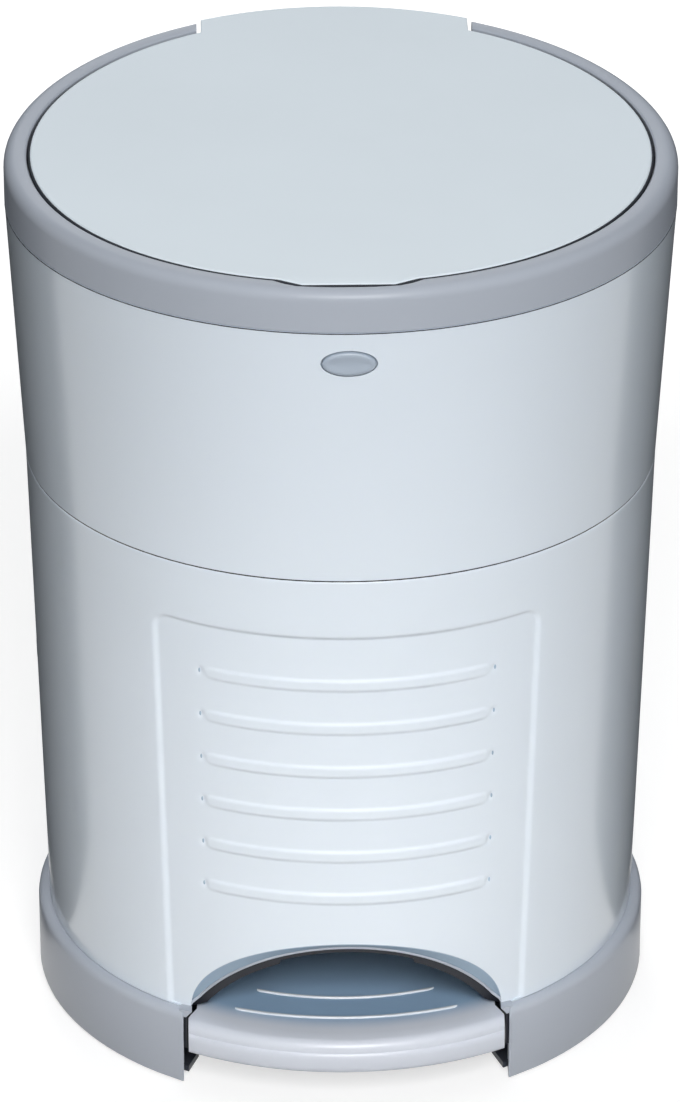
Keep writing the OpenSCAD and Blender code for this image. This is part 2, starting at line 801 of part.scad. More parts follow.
lip_gap = 0.7;
lip_h = 5;
module upper_shell() {
    z0 = seam_z + seam_gap;
    lip_r = seam_r - wall - lip_gap;
    color("gainsboro")
    difference() {
        union() {
            rotate_extrude()
                polygon([
                    [upper_r(z0) - wall, z0], [upper_r(z0), z0], [top_r, rim_z],
                    [upstand_r, rim_z], [upstand_r, upstand_top], [upstand_r - wall, upstand_top],
                    [upstand_r - wall, rim_z - 2], [top_r - wall, rim_z - 5]
                ]);
            // alignment lip, open at the hinge and at the latch
            difference() {
                rotate_extrude()
                    polygon([
                        [lip_r - 2.4, seam_z - lip_h], [lip_r, seam_z - lip_h], [lip_r, seam_z + 1.5],
                        [upper_r(z0) - wall + 0.5, seam_z + 4], [upper_r(z0) - wall + 0.5, seam_z + 8],
                        [lip_r - 2.4, seam_z + 3]
                    ]);
                box([-50, 0, 0], [50, big, big]);
                box([-strike_w - 4, -big, 0], [strike_w + 4, 0, big]);
            }
            both_sides() tilt_lug(knuckle_a, knuckle_b - side_gap, 1);
        }
        both_sides() rod_x(knuckle_r + move_gap, knuckle_b - side_gap, knuckle_c + side_gap, tilt_y, seam_z);
        rod_x(tilt_pin_r + run_gap, -60, 60, tilt_y, seam_z);
        both_sides() box([knuckle_a - 1, seam_r / 2, seam_z - 6],
            [knuckle_b + 1, seam_r - wall - 2.5, seam_z + lug_h + 6]);
        translate([0, 0, button_z])
            front_extrude(-big / 2, -seam_r / 2) oval(button_w + 2 * move_gap, button_h + 2 * move_gap);
    }
}

// Cross-section of the rim where its top face is at height t, walked clockwise
function rim_section(t) = concat(
    [[rim_band_in, rim_z], [rim_r, rim_z]],
    [for (a = [0:22.5:90]) [rim_r - rim_round + rim_round * cos(a), t - rim_round + rim_round * sin(a)]],
    [[rim_hole_r + 0.6, t], [rim_hole_r, t - 0.6], [rim_hole_r, t - 9], [rim_hole_r + 2.3, t - 9],
     [rim_hole_r + 2.3, t - 2.8], [rim_band_in, t - 4.8]]
);

module rim_sweep() {
    steps = 96;
    sections = [
        for (k = [0:steps - 1])
            let (a = 360 * k / steps, t = top_z(rim_r * sin(a)))
                [for (p = rim_section(t)) [p[0] * cos(a), p[0] * sin(a), p[1]]]
    ];
    m = len(sections[0]);
    polyhedron(
        [for (s = sections, p = s) p],
        [for (k = [0:steps - 1], i = [0:m - 1])
            let (a = k * m, b = ((k + 1) % steps) * m, j = (i + 1) % m)
                [a + i, a + j, b + j, b + i]],
        convexity = 10);
}

module rim() {
    color("silver")
    difference() {
        rim_sweep();
        box([-(flap_w + flap_gap), rim_r / 2, sill_z], [flap_w + flap_gap, big, big]);
        box([-(tab_w + 1), tab_y - 1.5, front_z - 3.5], [tab_w + 1, -rim_r / 2, big]);
    }
}

module funnel() {
    color("whitesmoke")
    difference() {
        rotate_extrude()
            polygon([
                [mouth_r, flange_top], [upstand_r - 0.6, flange_top], [upstand_r - 0.6, flange_z],
                [mouth_r + 2, flange_z], [neck_r + funnel_t + 0.6, neck_z + 1], [neck_r + funnel_t + 0.6, neck_z],
                [neck_r, neck_z], [neck_r, neck_z + 1]
            ]);
        box([-pad_w - 1.5, pad_front - 1, 0], [pad_w + 1.5, pad_back + 2, big]);
    }
}

module trap_frame() {
    top = neck_z - seat_gap;
    color("lightgray")
    difference() {
        union() {
            ring(frame_out, frame_in, top - frame_h, frame_h);
            for (s = [-1, 1], t = [-1, 1])
                box([s > 0 ? trap_x - 3.5 : -trap_x - 5, t > 0 ? 14 : -21, trap_z - 4],
                    [s > 0 ? trap_x + 5 : -trap_x + 3.5, t > 0 ? 21 : -14, trap_z + 1.5]);
        }
        both_sides() box([trap_x - 6, -14, trap_z - frame_h], [frame_slot, 14, trap_z + frame_h]);
        // way of the doors' rounded edges as they swing down
        both_sides() box([trap_x - 14, -42, trap_z - frame_h], [frame_out + 1, 42, trap_z - 4]);
        both_sides() rod_y_axis(trap_pin_r, -30, 30, trap_x, trap_z);
    }
}

module trap_pins() {
    color("silver")
    both_sides() rod_y_axis(trap_pin_r - 0.02, -21, 21, trap_x, trap_z);
}

module trap_springs() {
    color("lightgray")
    for (s = [-1, 1], t = [-1, 1])
        translate([s * trap_x, t > 0 ? 6.2 : -13.2, trap_z]) rotate([-90, 0, 0]) coil(2.15, 0.4, 7, 5, 12);
}

module trap_door(side) {
    color("whitesmoke")
    mirror([side > 0 ? 0 : 1, 0, 0])
    difference() {
        union() {
            intersection() {
                translate([0, 0, trap_top - trap_t]) cylinder(r = trap_r, h = trap_t);
                box([0.6, -big, 0], [big, big, big]);
            }
            box([4, -1, trap_top - trap_t - 3], [62, 1, trap_top - trap_t]);
            rod_y_axis(trap_boss_r, -5, 5, trap_x, trap_z);
            box([trap_r - 7, -5, trap_z - 0.5], [trap_x, 5, trap_top]);
        }
        for (t = [-1, 1])
            box([trap_r - 6, t > 0 ? 5.2 : -21.8, 0], [trap_x + 9, t > 0 ? 21.8 : -5.2, big]);
        rod_y_axis(trap_pin_r + run_gap, -30, 30, trap_x, trap_z);
    }
}

module trap_door_left() { trap_door(-1); }
module trap_door_right() { trap_door(1); }

guide_back = bar_y + bar_t + button_travel + 8;
guide_shelf = button_z - button_h / 2 - 7;
module latch_guide() {
    color("whitesmoke")
    intersection() {
        difference() {
            union() {
                box([-bar_w - 4, -big, seam_z + 22], [bar_w + 4, guide_back - 3, seam_z + 40]);
                box([-bar_w - 4, -big, guide_shelf], [bar_w + 4, guide_back + 2, guide_shelf + 2.5]);
                box([-5, guide_back, guide_shelf], [5, guide_back + 2, button_z + 6]);
            }
            box([-bar_w - 0.3, bar_y - 1, 0], [bar_w + 0.3, bar_y + bar_t + button_travel + 0.5, guide_shelf + 4]);
        }
        ring_shell(seam_z, rim_z, seam_r - wall - seat_gap, top_r - wall - seat_gap, 0, 0);
    }
}

module button_spring() {
    color("lightgray")
    translate([0, bar_y + bar_t + button_travel + 0.2, button_z])
        rotate([-90, 0, 0]) coil(3, 0.5, guide_back - bar_y - bar_t - button_travel - 0.4, 4, 12);
}

module lifter_guide() {
    color("whitesmoke")
    intersection() {
        difference() {
            union() {
                for (z = [seam_z + 25, rim_z - 24])
                    box([-channel_w, channel_front, z], [channel_w, big, z + 8]);
                box([-channel_w, rod_y + rod_r + 2, seam_z + 25], [channel_w, big, rim_z - 16]);
            }
            translate([0, rod_y, 0]) cylinder(r = rod_r + run_gap, h = big, $fn = 48);
        }
        ring_shell(seam_z, rim_z, seam_r - wall - seat_gap, top_r - wall - seat_gap, 0, 0);
    }
}

module lid_bracket() {
    front = pad_front + 1;
    color("whitesmoke")
    difference() {
        union() {
            both_sides() {
                box([arm_in, front, flange_top], [arm_out, hinge_y - 7, hinge_z + 4.5]);
                box([arm_in, hinge_y - 8, hinge_z - 4.5], [arm_out, hinge_y, hinge_z + 4.5]);
                rod_x(4.5, arm_in, arm_out, hinge_y, hinge_z);
            }
            box([-24, front, flange_top], [24, hinge_y - 7, flange_top + 2.5]);
        }
        rod_x(hinge_pin_r, -40, 40, hinge_y, hinge_z);
        box([-pad_w - 1.5, pad_front - 1, 0], [pad_w + 1.5, pad_back + 2, big]);
    }
}

module lid_pin() {
    color("silver")
    rod_x(hinge_pin_r - 0.02, -knuckle_out - 0.5, knuckle_out + 0.5, hinge_y, hinge_z);
}

module lifter() {
    color("silver")
    union() {
        translate([0, rod_y, lifter_foot_z]) cylinder(r = rod_r, h = pad_top - pad_t - lifter_foot_z + 1, $fn = 48);
        box([-pad_w, pad_front, pad_top - pad_t], [pad_w, pad_back, pad_top]);
    }
}

// ---------------------------------------------------------------- lid

module lid_plan() {
    intersection() {
        circle(r = rim_r - 0.2, $fn = 256);
        union() {
            circle(r = lid_r, $fn = 256);
            translate([-flap_w, rim_r / 2]) square([2 * flap_w, rim_r]);
            polygon([[-tab_w, -lid_r + 12], [-tab_w, -lid_r + 3.5], [-tab_tip_w, tab_y], [tab_tip_w, tab_y],
                [tab_w, -lid_r + 3.5], [tab_w, -lid_r + 12]]);
        }
    }
}

module lid_panel() {
    skirt_in = rim_r - 0.2 - lid_t;
    color("lightsteelblue")
    difference() {
        union() {
            intersection() {
                translate([0, 0, front_z - 20]) linear_extrude(60) lid_plan();
                difference() {
                    under_arc(0);
                    under_arc(lid_t);
                }
            }
            // rear skirt, rounded below about the hinge
            intersection() {
                box([-flap_w, rim_r / 2, hinge_z - 12], [flap_w, big, big]);
                ring(rim_r - 0.2, skirt_in, hinge_z - 12, 60);
                union() {
                    box([-big, 0, hinge_z], [big, big, big]);
                    rod_x(barrel_r, -flap_w - 1, flap_w + 1, hinge_y, hinge_z);
                }
                under_arc(0.5);
            }
            both_sides() {
                rod_x(5, knuckle_in, knuckle_out, hinge_y, hinge_z);
                intersection() {
                    box([knuckle_in, hinge_y - 5, hinge_z], [knuckle_out, hinge_y + 4, big]);
                    under_arc(0.5);
                }
            }
        }
        rod_x(hinge_pin_r + run_gap, -60, 60, hinge_y, hinge_z);
    }
}

inner_r = mouth_r - 3;
inner_z = flange_top + 6;
inner_top = front_z + rear_rise;
module lid_inner() {
    color("whitesmoke")
    intersection() {
        rotate_extrude()
            polygon([
                [0, inner_z], [inner_r + 7, inner_z], [inner_r + 7, inner_z + 2], [inner_r, inner_z + 2],
                [inner_r, inner_top], [inner_r - 2.5, inner_top], [inner_r - 2.5, inner_z + 2], [0, inner_z + 2]
            ]);
        under_arc(lid_t + 0.1);
    }
}

module lid_gasket() {
    color("dimgray")
    rotate_extrude()
        polygon([
            [mouth_r + 0.8, inner_z], [mouth_r + 0.8, flange_top + 1.8], [mouth_r + 1.6, flange_top + 0.3],
            [mouth_r + 3, flange_top + 0.3], [mouth_r + 3.6, flange_top + 1.8], [mouth_r + 3.6, inner_z]
        ]);
}

module lid_crank() {
    cheek_in = pad_w + 0.8;
    cheek_out = cheek_in + 3;
    color("gray")
    difference() {
        union() {
            both_sides() {
                rod_x(5, cheek_in, cheek_out, hinge_y, hinge_z);
                rod_x(3.4, cheek_in, cheek_out, crank_y, crank_z);
                translate([cheek_in, hinge_y, hinge_z]) rotate([90, 0, 90])
                    linear_extrude(cheek_out - cheek_in)
                        rotate(180 + crank_sag) translate([0, -3.2]) square([crank_r, 6.4]);
                intersection() {
                    box([cheek_in, hinge_y - 5, hinge_z], [cheek_out, hinge_y + 4, big]);
                    under_arc(lid_t + 0.1);
                }
            }
            rod_x(crank_pin_r, -cheek_out, cheek_out, crank_y, crank_z);
        }
        rod_x(hinge_pin_r + run_gap, -60, 60, hinge_y, hinge_z);
    }
}

// ---------------------------------------------------------------- release button

module button_cap() {
    face = upper_r(button_z) + 1;
    back = upper_r(button_z) - wall - 4;
    color("gray")
    union() {
        translate([0, 0, button_z]) front_extrude(-face, -back) oval(button_w, button_h);
        translate([0, 0, button_z])
            front_extrude(-(upper_r(button_z) - wall - 1.4), -back) oval(button_w + 5, button_h + 4);
    }
}

module latch_bar() {
    face = upper_r(button_z) - wall - 4;
    nose_y = -(seam_r - wall - strike_reach) + nose_clear;
    color("lightgray")
    union() {
        box([-bar_w, -face, button_z - 4], [bar_w, bar_y + bar_t, button_z + 4]);
        box([-bar_w, bar_y, bar_foot], [bar_w, bar_y + bar_t, button_z + 4]);
        box([-bar_w, nose_y, bar_foot], [bar_w, bar_y + 1, strike_z - 0.4]);
    }
}

lower_shell();
base_ring();
pedal_hood();
base_plate();
rubber_feet();
base_screws();
pedal_pin();
pedal_spring();
rod_channel();
liner_tray();
refill_cassette();
liner_film();
tilt_pin();
pedal_tread();
pedal_lever();
push_rod();
upper_shell();
rim();
funnel();
trap_frame();
trap_pins();
trap_springs();
latch_guide();
button_spring();
lifter_guide();
lid_bracket();
lid_pin();
lifter();
lid_panel();
lid_inner();
lid_gasket();
lid_crank();
button_cap();
latch_bar();
trap_door_left();
trap_door_right();
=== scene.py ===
"""Pedal nappy bin: the dressed model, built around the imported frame.

The studio is in metres and the mouldings are in millimetres, +Z is up and the
front faces -Y.
"""

import json
import logging
import math
from dataclasses import dataclass, field
from enum import Enum
from typing import Iterable, Sequence

import bmesh
import bpy
from mathutils import Matrix, Vector


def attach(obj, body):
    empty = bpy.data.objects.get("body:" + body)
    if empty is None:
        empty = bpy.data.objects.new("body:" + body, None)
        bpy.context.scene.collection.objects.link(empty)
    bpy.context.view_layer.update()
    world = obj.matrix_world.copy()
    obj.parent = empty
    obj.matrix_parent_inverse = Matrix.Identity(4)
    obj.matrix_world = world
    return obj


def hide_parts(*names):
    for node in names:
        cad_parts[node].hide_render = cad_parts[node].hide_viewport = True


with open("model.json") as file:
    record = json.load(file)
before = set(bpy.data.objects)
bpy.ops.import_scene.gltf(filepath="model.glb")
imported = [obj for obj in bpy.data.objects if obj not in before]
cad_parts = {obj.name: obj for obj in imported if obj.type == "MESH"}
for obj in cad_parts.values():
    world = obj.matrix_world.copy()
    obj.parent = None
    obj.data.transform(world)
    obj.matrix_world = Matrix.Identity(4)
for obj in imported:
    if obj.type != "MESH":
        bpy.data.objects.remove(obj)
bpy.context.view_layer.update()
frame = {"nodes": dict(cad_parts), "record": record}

LOG = logging.getLogger("nappy_bin")
MM = 0.001
Point = tuple[float, float, float]
Colour = tuple[float, float, float]
Input = float | tuple[float, ...] | bpy.types.NodeSocket

# Shared by the pieces of the base, in millimetres and degrees: the top of the ring, the
# taper of the wall, and the middle height, first angle and sweep of the circles that the
# arch's slope, the trim and the hood follow.
RING_TOP = 39.0
FLARE = 6.3 / 239.0
ARCH_Z = -1.998
ARCH_START = 33.5
ARCH_SWEEP = 113.0


def srgb(red: int, green: int, blue: int) -> Colour:
    """Turns a screen colour into a linear one.

    Args:
        red: Red, up to 255.
        green: Green, up to 255.
        blue: Blue, up to 255.

    Returns:
        The linear colour.
    """
    def channel(value: int) -> float:
        """Linear value of one screen channel."""
        v = value / 255.0
        return v / 12.92 if v <= 0.04045 else ((v + 0.055) / 1.055) ** 2.4
    return channel(red), channel(green), channel(blue)


def ease(value: float) -> float:
    """Smooth step from 0 to 1 of a value that may lie outside that range."""
    v = min(1.0, max(0.0, value))
    return v * v * (3.0 - 2.0 * v)


def polar(radius: float, angle: float, z: float) -> Point:
    """Point at a radius, at an angle in degrees from the front towards +X, at a height."""
    turn = math.radians(angle)
    return radius * math.sin(turn), -radius * math.cos(turn), z


def front_y(radius: float, x: float) -> float:
    """Y of the front half of a circle about the bin's axis, at an x."""
    return -math.sqrt(radius * radius - x * x)


def oval(u: float, v: float, half_u: float, half_v: float,
         turns: Iterable[float]) -> list[tuple[float, float]]:
    """Points on an oval about (u, v), at angles in degrees from u's direction to v's."""
    return [(u + half_u * math.cos(math.radians(a)), v + half_v * math.sin(math.radians(a)))
            for a in turns]


def add_object(name: str, data: bpy.types.ID) -> bpy.types.Object:
    """Adds an object to the scene.

    Args:
        name: Its name.
        data: The mesh, camera or lamp that it holds.

    Returns:
        The new object.
    """
    thing = bpy.data.objects.new(name, data)
    bpy.context.scene.collection.objects.link(thing)
    return thing


def aim_at(thing: bpy.types.Object, place: Point, target: Point, roll: float = 0.0) -> None:
    """Puts a camera or lamp at a place and turns it to a target.

    Args:
        thing: The camera or lamp.
        place: Where it stands.
        target: What it looks at.
        roll: Turn about its line of sight, in degrees.
    """
    away = Vector(target) - Vector(place)
    turn = away.to_track_quat("-Z", "Y").to_matrix().to_4x4()
    thing.matrix_world = (Matrix.Translation(place) @ turn
                          @ Matrix.Rotation(math.radians(roll), 4, "Z"))


def set_inputs(tree: bpy.types.NodeTree, node: bpy.types.Node,
               inputs: dict[str | int, Input]) -> None:
    """Sets or links inputs of a node.

    Args:
        tree: The node tree that it is in.
        node: The node.
        inputs: A constant or another node's output, by the input's name or number.
    """
    for key, value in inputs.items():
        if isinstance(value, bpy.types.NodeSocket):
            tree.links.new(value, node.inputs[key])
        else:
            node.inputs[key].default_value = value


def add_node(tree: bpy.types.NodeTree, kind: str, inputs: dict[str | int, Input],
             **settings: str) -> bpy.types.Node:
    """Adds a node and sets its inputs.

    Args:
        tree: The node tree that it joins.
        kind: Its type.
        inputs: A constant or another node's output, by the input's name or number.
        settings: Its options, such as the operation.

    Returns:
        The new node.
    """
    node = tree.nodes.new(kind)
    for option, value in settings.items():
        setattr(node, option, value)
    set_inputs(tree, node, inputs)
    return node


# ------------------------------------------------------------------ finishes


class Grain(Enum):
    """Kind of fine relief that a finish carries."""

    POLISHED = "polished"
    SATIN = "satin"
    TEXTURED = "textured"
    BRUSHED = "brushed"
    FILM = "film"


@dataclass(frozen=True)
class Finish:
    """One surface finish, made into a procedural material.

    The colour wanders between `colour` and `colour * shade`, and the roughness
    between `roughness - spread` and `roughness + spread`. Where `middle` is given,
    it is the colour near the bin's axis, a painted shade with a blue tint for the
    part of the pedal's tread under the hood, and `fade` gives the two distances from
    the axis between which it passes into `colour`.
    """

    name: str
    colour: Colour
    roughness: float
    grain: Grain = Grain.SATIN
    shade: float = 0.97
    spread: float = 0.03
    relief: float = 0.00001
    metallic: float = 0.0
    coat: float = 0.0
    transmission: float = 0.0
    subsurface: float = 0.0
    specular: float = 0.5
    middle: Colour | None = None
    fade: tuple[float, float] = (0.0, 1.0)

    # Features per metre and octaves of the noise that moves colour, roughness and relief.
    TINT_NOISE = (9.0, 3.0)
    MARK_NOISE = (38.0, 4.0)
    GRAIN_OCTAVES = 2.0
    GRAIN_SCALE = {Grain.POLISHED: 60.0, Grain.SATIN: 900.0, Grain.TEXTURED: 1050.0,
                   Grain.BRUSHED: 700.0, Grain.FILM: 45.0}
    BRUSH_STRETCH = (0.04, 1.0, 1.0)
    TINT_BAND = (0.3, 0.7)
    BUMP_STRENGTH = 0.35
    SMOOTHEST = 0.02
    COAT_ROUGHNESS = 0.12
    GLOW_DEPTH = (0.004, 0.004, 0.005)
    PLASTIC_IOR = 1.49

    def build(self) -> bpy.types.Material:
        """Makes the material.

        Returns:
            The new material, with its colour, roughness and relief from nodes.
        """
        material = bpy.data.materials.new(self.name)
        material.use_nodes = True
        tree = material.node_tree
        place = tree.nodes.new("ShaderNodeTexCoord").outputs["Object"]
        set_inputs(tree, tree.nodes["Principled BSDF"], {
            "Metallic": self.metallic,
            "Coat Weight": self.coat,
            "Coat Roughness": self.COAT_ROUGHNESS,
            "Transmission Weight": self.transmission,
            "Subsurface Weight": self.subsurface,
            "Subsurface Radius": self.GLOW_DEPTH,
            "IOR": self.PLASTIC_IOR,
            "Specular IOR Level": self.specular,
            "Base Color": self._colour(tree, place),
            "Roughness": self._roughness(tree, place),
            "Normal": self._relief(tree, place),
        })
        return material

    @staticmethod
    def _noise(tree: bpy.types.NodeTree, place: bpy.types.NodeSocket, scale: float,
               detail: float) -> bpy.types.NodeSocket:
        """Value of a new noise texture, with its features per metre and its octaves."""
        noise = add_node(tree, "ShaderNodeTexNoise",
                         {"Vector": place, "Scale": scale, "Detail": detail})
        return noise.outputs["Fac"]

    def _colour(self, tree: bpy.types.NodeTree,
                place: bpy.types.NodeSocket) -> bpy.types.NodeSocket:
        """Makes a colour that wanders softly over the surface.

        Args:
            tree: The material's node tree.
            place: Object coordinates.

        Returns:
            The colour.
        """
        ramp = add_node(tree, "ShaderNodeValToRGB",
                        {"Fac": self._noise(tree, place, *self.TINT_NOISE)})
        dark = tuple(c * self.shade for c in self.colour)
        for i, colour in enumerate((dark, self.colour)):
            ramp.color_ramp.elements[i].position = self.TINT_BAND[i]
            ramp.color_ramp.elements[i].color = (*colour, 1.0)
        # Near the bin's axis the pedal's tread is blended into a painted shade with a blue tint.
        if self.middle is None:
            return ramp.outputs["Color"]
        flat = add_node(tree, "ShaderNodeVectorMath", {0: place, 1: (1.0, 1.0, 0.0)},
                        operation="MULTIPLY")
        away = add_node(tree, "ShaderNodeVectorMath", {0: flat.outputs["Vector"]},
                        operation="LENGTH")
        share = add_node(tree, "ShaderNodeMapRange", {
            "Value": away.outputs["Value"], "From Min": self.fade[0],
            "From Max": self.fade[1]}, interpolation_type="SMOOTHSTEP")
        blend = add_node(tree, "ShaderNodeMix", {
            "Factor": share.outputs["Result"], "A": (*self.middle, 1.0),
            "B": ramp.outputs["Color"]}, data_type="RGBA")
        return blend.outputs["Result"]

    def _roughness(self, tree: bpy.types.NodeTree,
                   place: bpy.types.NodeSocket) -> bpy.types.NodeSocket:
        """Makes a roughness that varies like handling marks.

        Args:
            tree: The material's node tree.
            place: Object coordinates.

        Returns:
            The roughness.
        """
        marks = add_node(tree, "ShaderNodeMapRange", {
            "Value": self._noise(tree, place, *self.MARK_NOISE),
            "To Min": max(self.SMOOTHEST, self.roughness - self.spread),
            "To Max": self.roughness + self.spread})
        return marks.outputs["Result"]

    def _relief(self, tree: bpy.types.NodeTree,
                place: bpy.types.NodeSocket) -> bpy.types.NodeSocket:
        """Makes the fine relief of the moulded, brushed or rolled surface.

        Args:
            tree: The material's node tree.
            place: Object coordinates.

        Returns:
            The normal of the surface.
        """
        scale = self.GRAIN_SCALE[self.grain]
        if self.grain is Grain.TEXTURED:
            height = add_node(tree, "ShaderNodeTexVoronoi",
                              {"Vector": place, "Scale": scale}).outputs["Distance"]
        else:
            if self.grain is Grain.BRUSHED:
                place = add_node(tree, "ShaderNodeMapping", {
                    "Vector": place, "Scale": self.BRUSH_STRETCH}).outputs["Vector"]
            height = self._noise(tree, place, scale, self.GRAIN_OCTAVES)
        bump = add_node(tree, "ShaderNodeBump", {
            "Height": height, "Strength": self.BUMP_STRENGTH, "Distance": self.relief})
        return bump.outputs["Normal"]


class Palette:
    """The finishes of the bin: one for each slot of the record, and two for fine pieces: a
    blue-grey painted shade and a pale painted highlight.
    """

    FINISHES = {
        "body_plastic": Finish(
            "body_gloss_shell", srgb(225, 235, 245), 0.24, Grain.POLISHED, shade=0.985,
            relief=0.00004, coat=0.35, subsurface=0.04),
        "lid_plastic": Finish(
            "lid_satin_blue", srgb(230, 240, 247), 0.5, relief=0.00002, specular=0.22),
        "grey_plastic": Finish(
            "ring_satin_grey", srgb(178, 185, 196), 0.34, relief=0.00002, specular=0.27),
        "hood_plastic": Finish(
            "hood_matt_dark", srgb(20, 23, 31), 0.5, Grain.TEXTURED, shade=0.85),
        # The pedal's grey, with a painted shade with a blue tint on its tread under the hood.
        "pedal_plastic": Finish(
            "pedal_satin_grey_painted_shade", srgb(204, 210, 221), 0.3, relief=0.00002,
            middle=srgb(142, 172, 202), fade=(0.126, 0.139)),
        # Blue-grey painted shade over the white body plastic: the arch's slope and the ribs'
        # dimples.
        "bevel": Finish(
            "bevel_gloss_shaded", srgb(158, 180, 200), 0.26, Grain.POLISHED, relief=0.00002,
            coat=0.2),
        # Painted highlight: the pedal's bars are lighter than its tread.
        "pedal_bar_painted_highlight": Finish(
            "pedal_bar_pale_painted_highlight", srgb(206, 214, 222), 0.3, relief=0.00002),
        "button_plastic": Finish(
            "button_satin_grey", srgb(168, 180, 194), 0.35),
        "dark_plastic": Finish(
            "plate_matt_graphite", srgb(52, 56, 64), 0.5, Grain.TEXTURED, shade=0.88,
            relief=0.00004),
        "inner_plastic": Finish(
            "inner_matt_white", srgb(226, 230, 234), 0.45, Grain.TEXTURED, relief=0.00003),
        "refill_plastic": Finish(
            "refill_satin_lilac", srgb(186, 190, 222), 0.35),
        "film": Finish(
            "liner_thin_film", srgb(236, 240, 244), 0.22, Grain.FILM, relief=0.0012,
            transmission=0.25),
        "rubber": Finish(
            "foot_soft_rubber", srgb(28, 28, 30), 0.72, Grain.TEXTURED, shade=0.8,
            relief=0.00006),
        # Used for the real gaskets and for the dark bands of painted shade at the seam, under the
        # rim and round the lid.
        "gasket_rubber": Finish(
            "gasket_rubber_and_painted_shade", srgb(38, 42, 50), 0.6, Grain.TEXTURED, shade=0.85),
        "steel": Finish(
            "pin_bright_steel", srgb(196, 198, 202), 0.24, Grain.BRUSHED, shade=0.9,
            metallic=1.0, relief=0.00003),
        "lever_steel": Finish(
            "lever_plated_steel", srgb(150, 152, 158), 0.38, Grain.BRUSHED, shade=0.85,
            metallic=1.0, relief=0.00004),
    }

    def __init__(self) -> None:
        """Starts with no material made."""
        self._made: dict[str, bpy.types.Material] = {}

    def material(self, slot: str) -> bpy.types.Material:
        """Finds a material, and makes it when it is first asked for.

        Args:
            slot: A material slot of the record, or the name of one of the two others.

        Returns:
            Its material.
        """
        if slot not in self._made:
            self._made[slot] = self.FINISHES[slot].build()
        return self._made[slot]


# -------------------------------------------------------------------- studio


@dataclass(frozen=True)
class Lamp:
    """One soft rectangular lamp.

    `mirrored` says whether gloss shows it, and `spread` is its beam in degrees.
    """

    name: str
    place: Point
    aim: Point
    width: float
    height: float
    watts: float
    mirrored: bool = False
    spread: float = 180.0
    colour: Colour = (1.0, 1.0, 1.0)

    def build(self) -> None:
        """Adds the lamp to the scene."""
        data = bpy.data.lights.new(self.name, "AREA")
        data.shape = "RECTANGLE"
        data.size = self.width
        data.size_y = self.height
        data.energy = self.watts
        data.spread = math.radians(self.spread)
        data.color = self.colour
        lamp = add_object(self.name, data)
        lamp.visible_glossy = self.mirrored
        aim_at(lamp, self.place, self.aim)


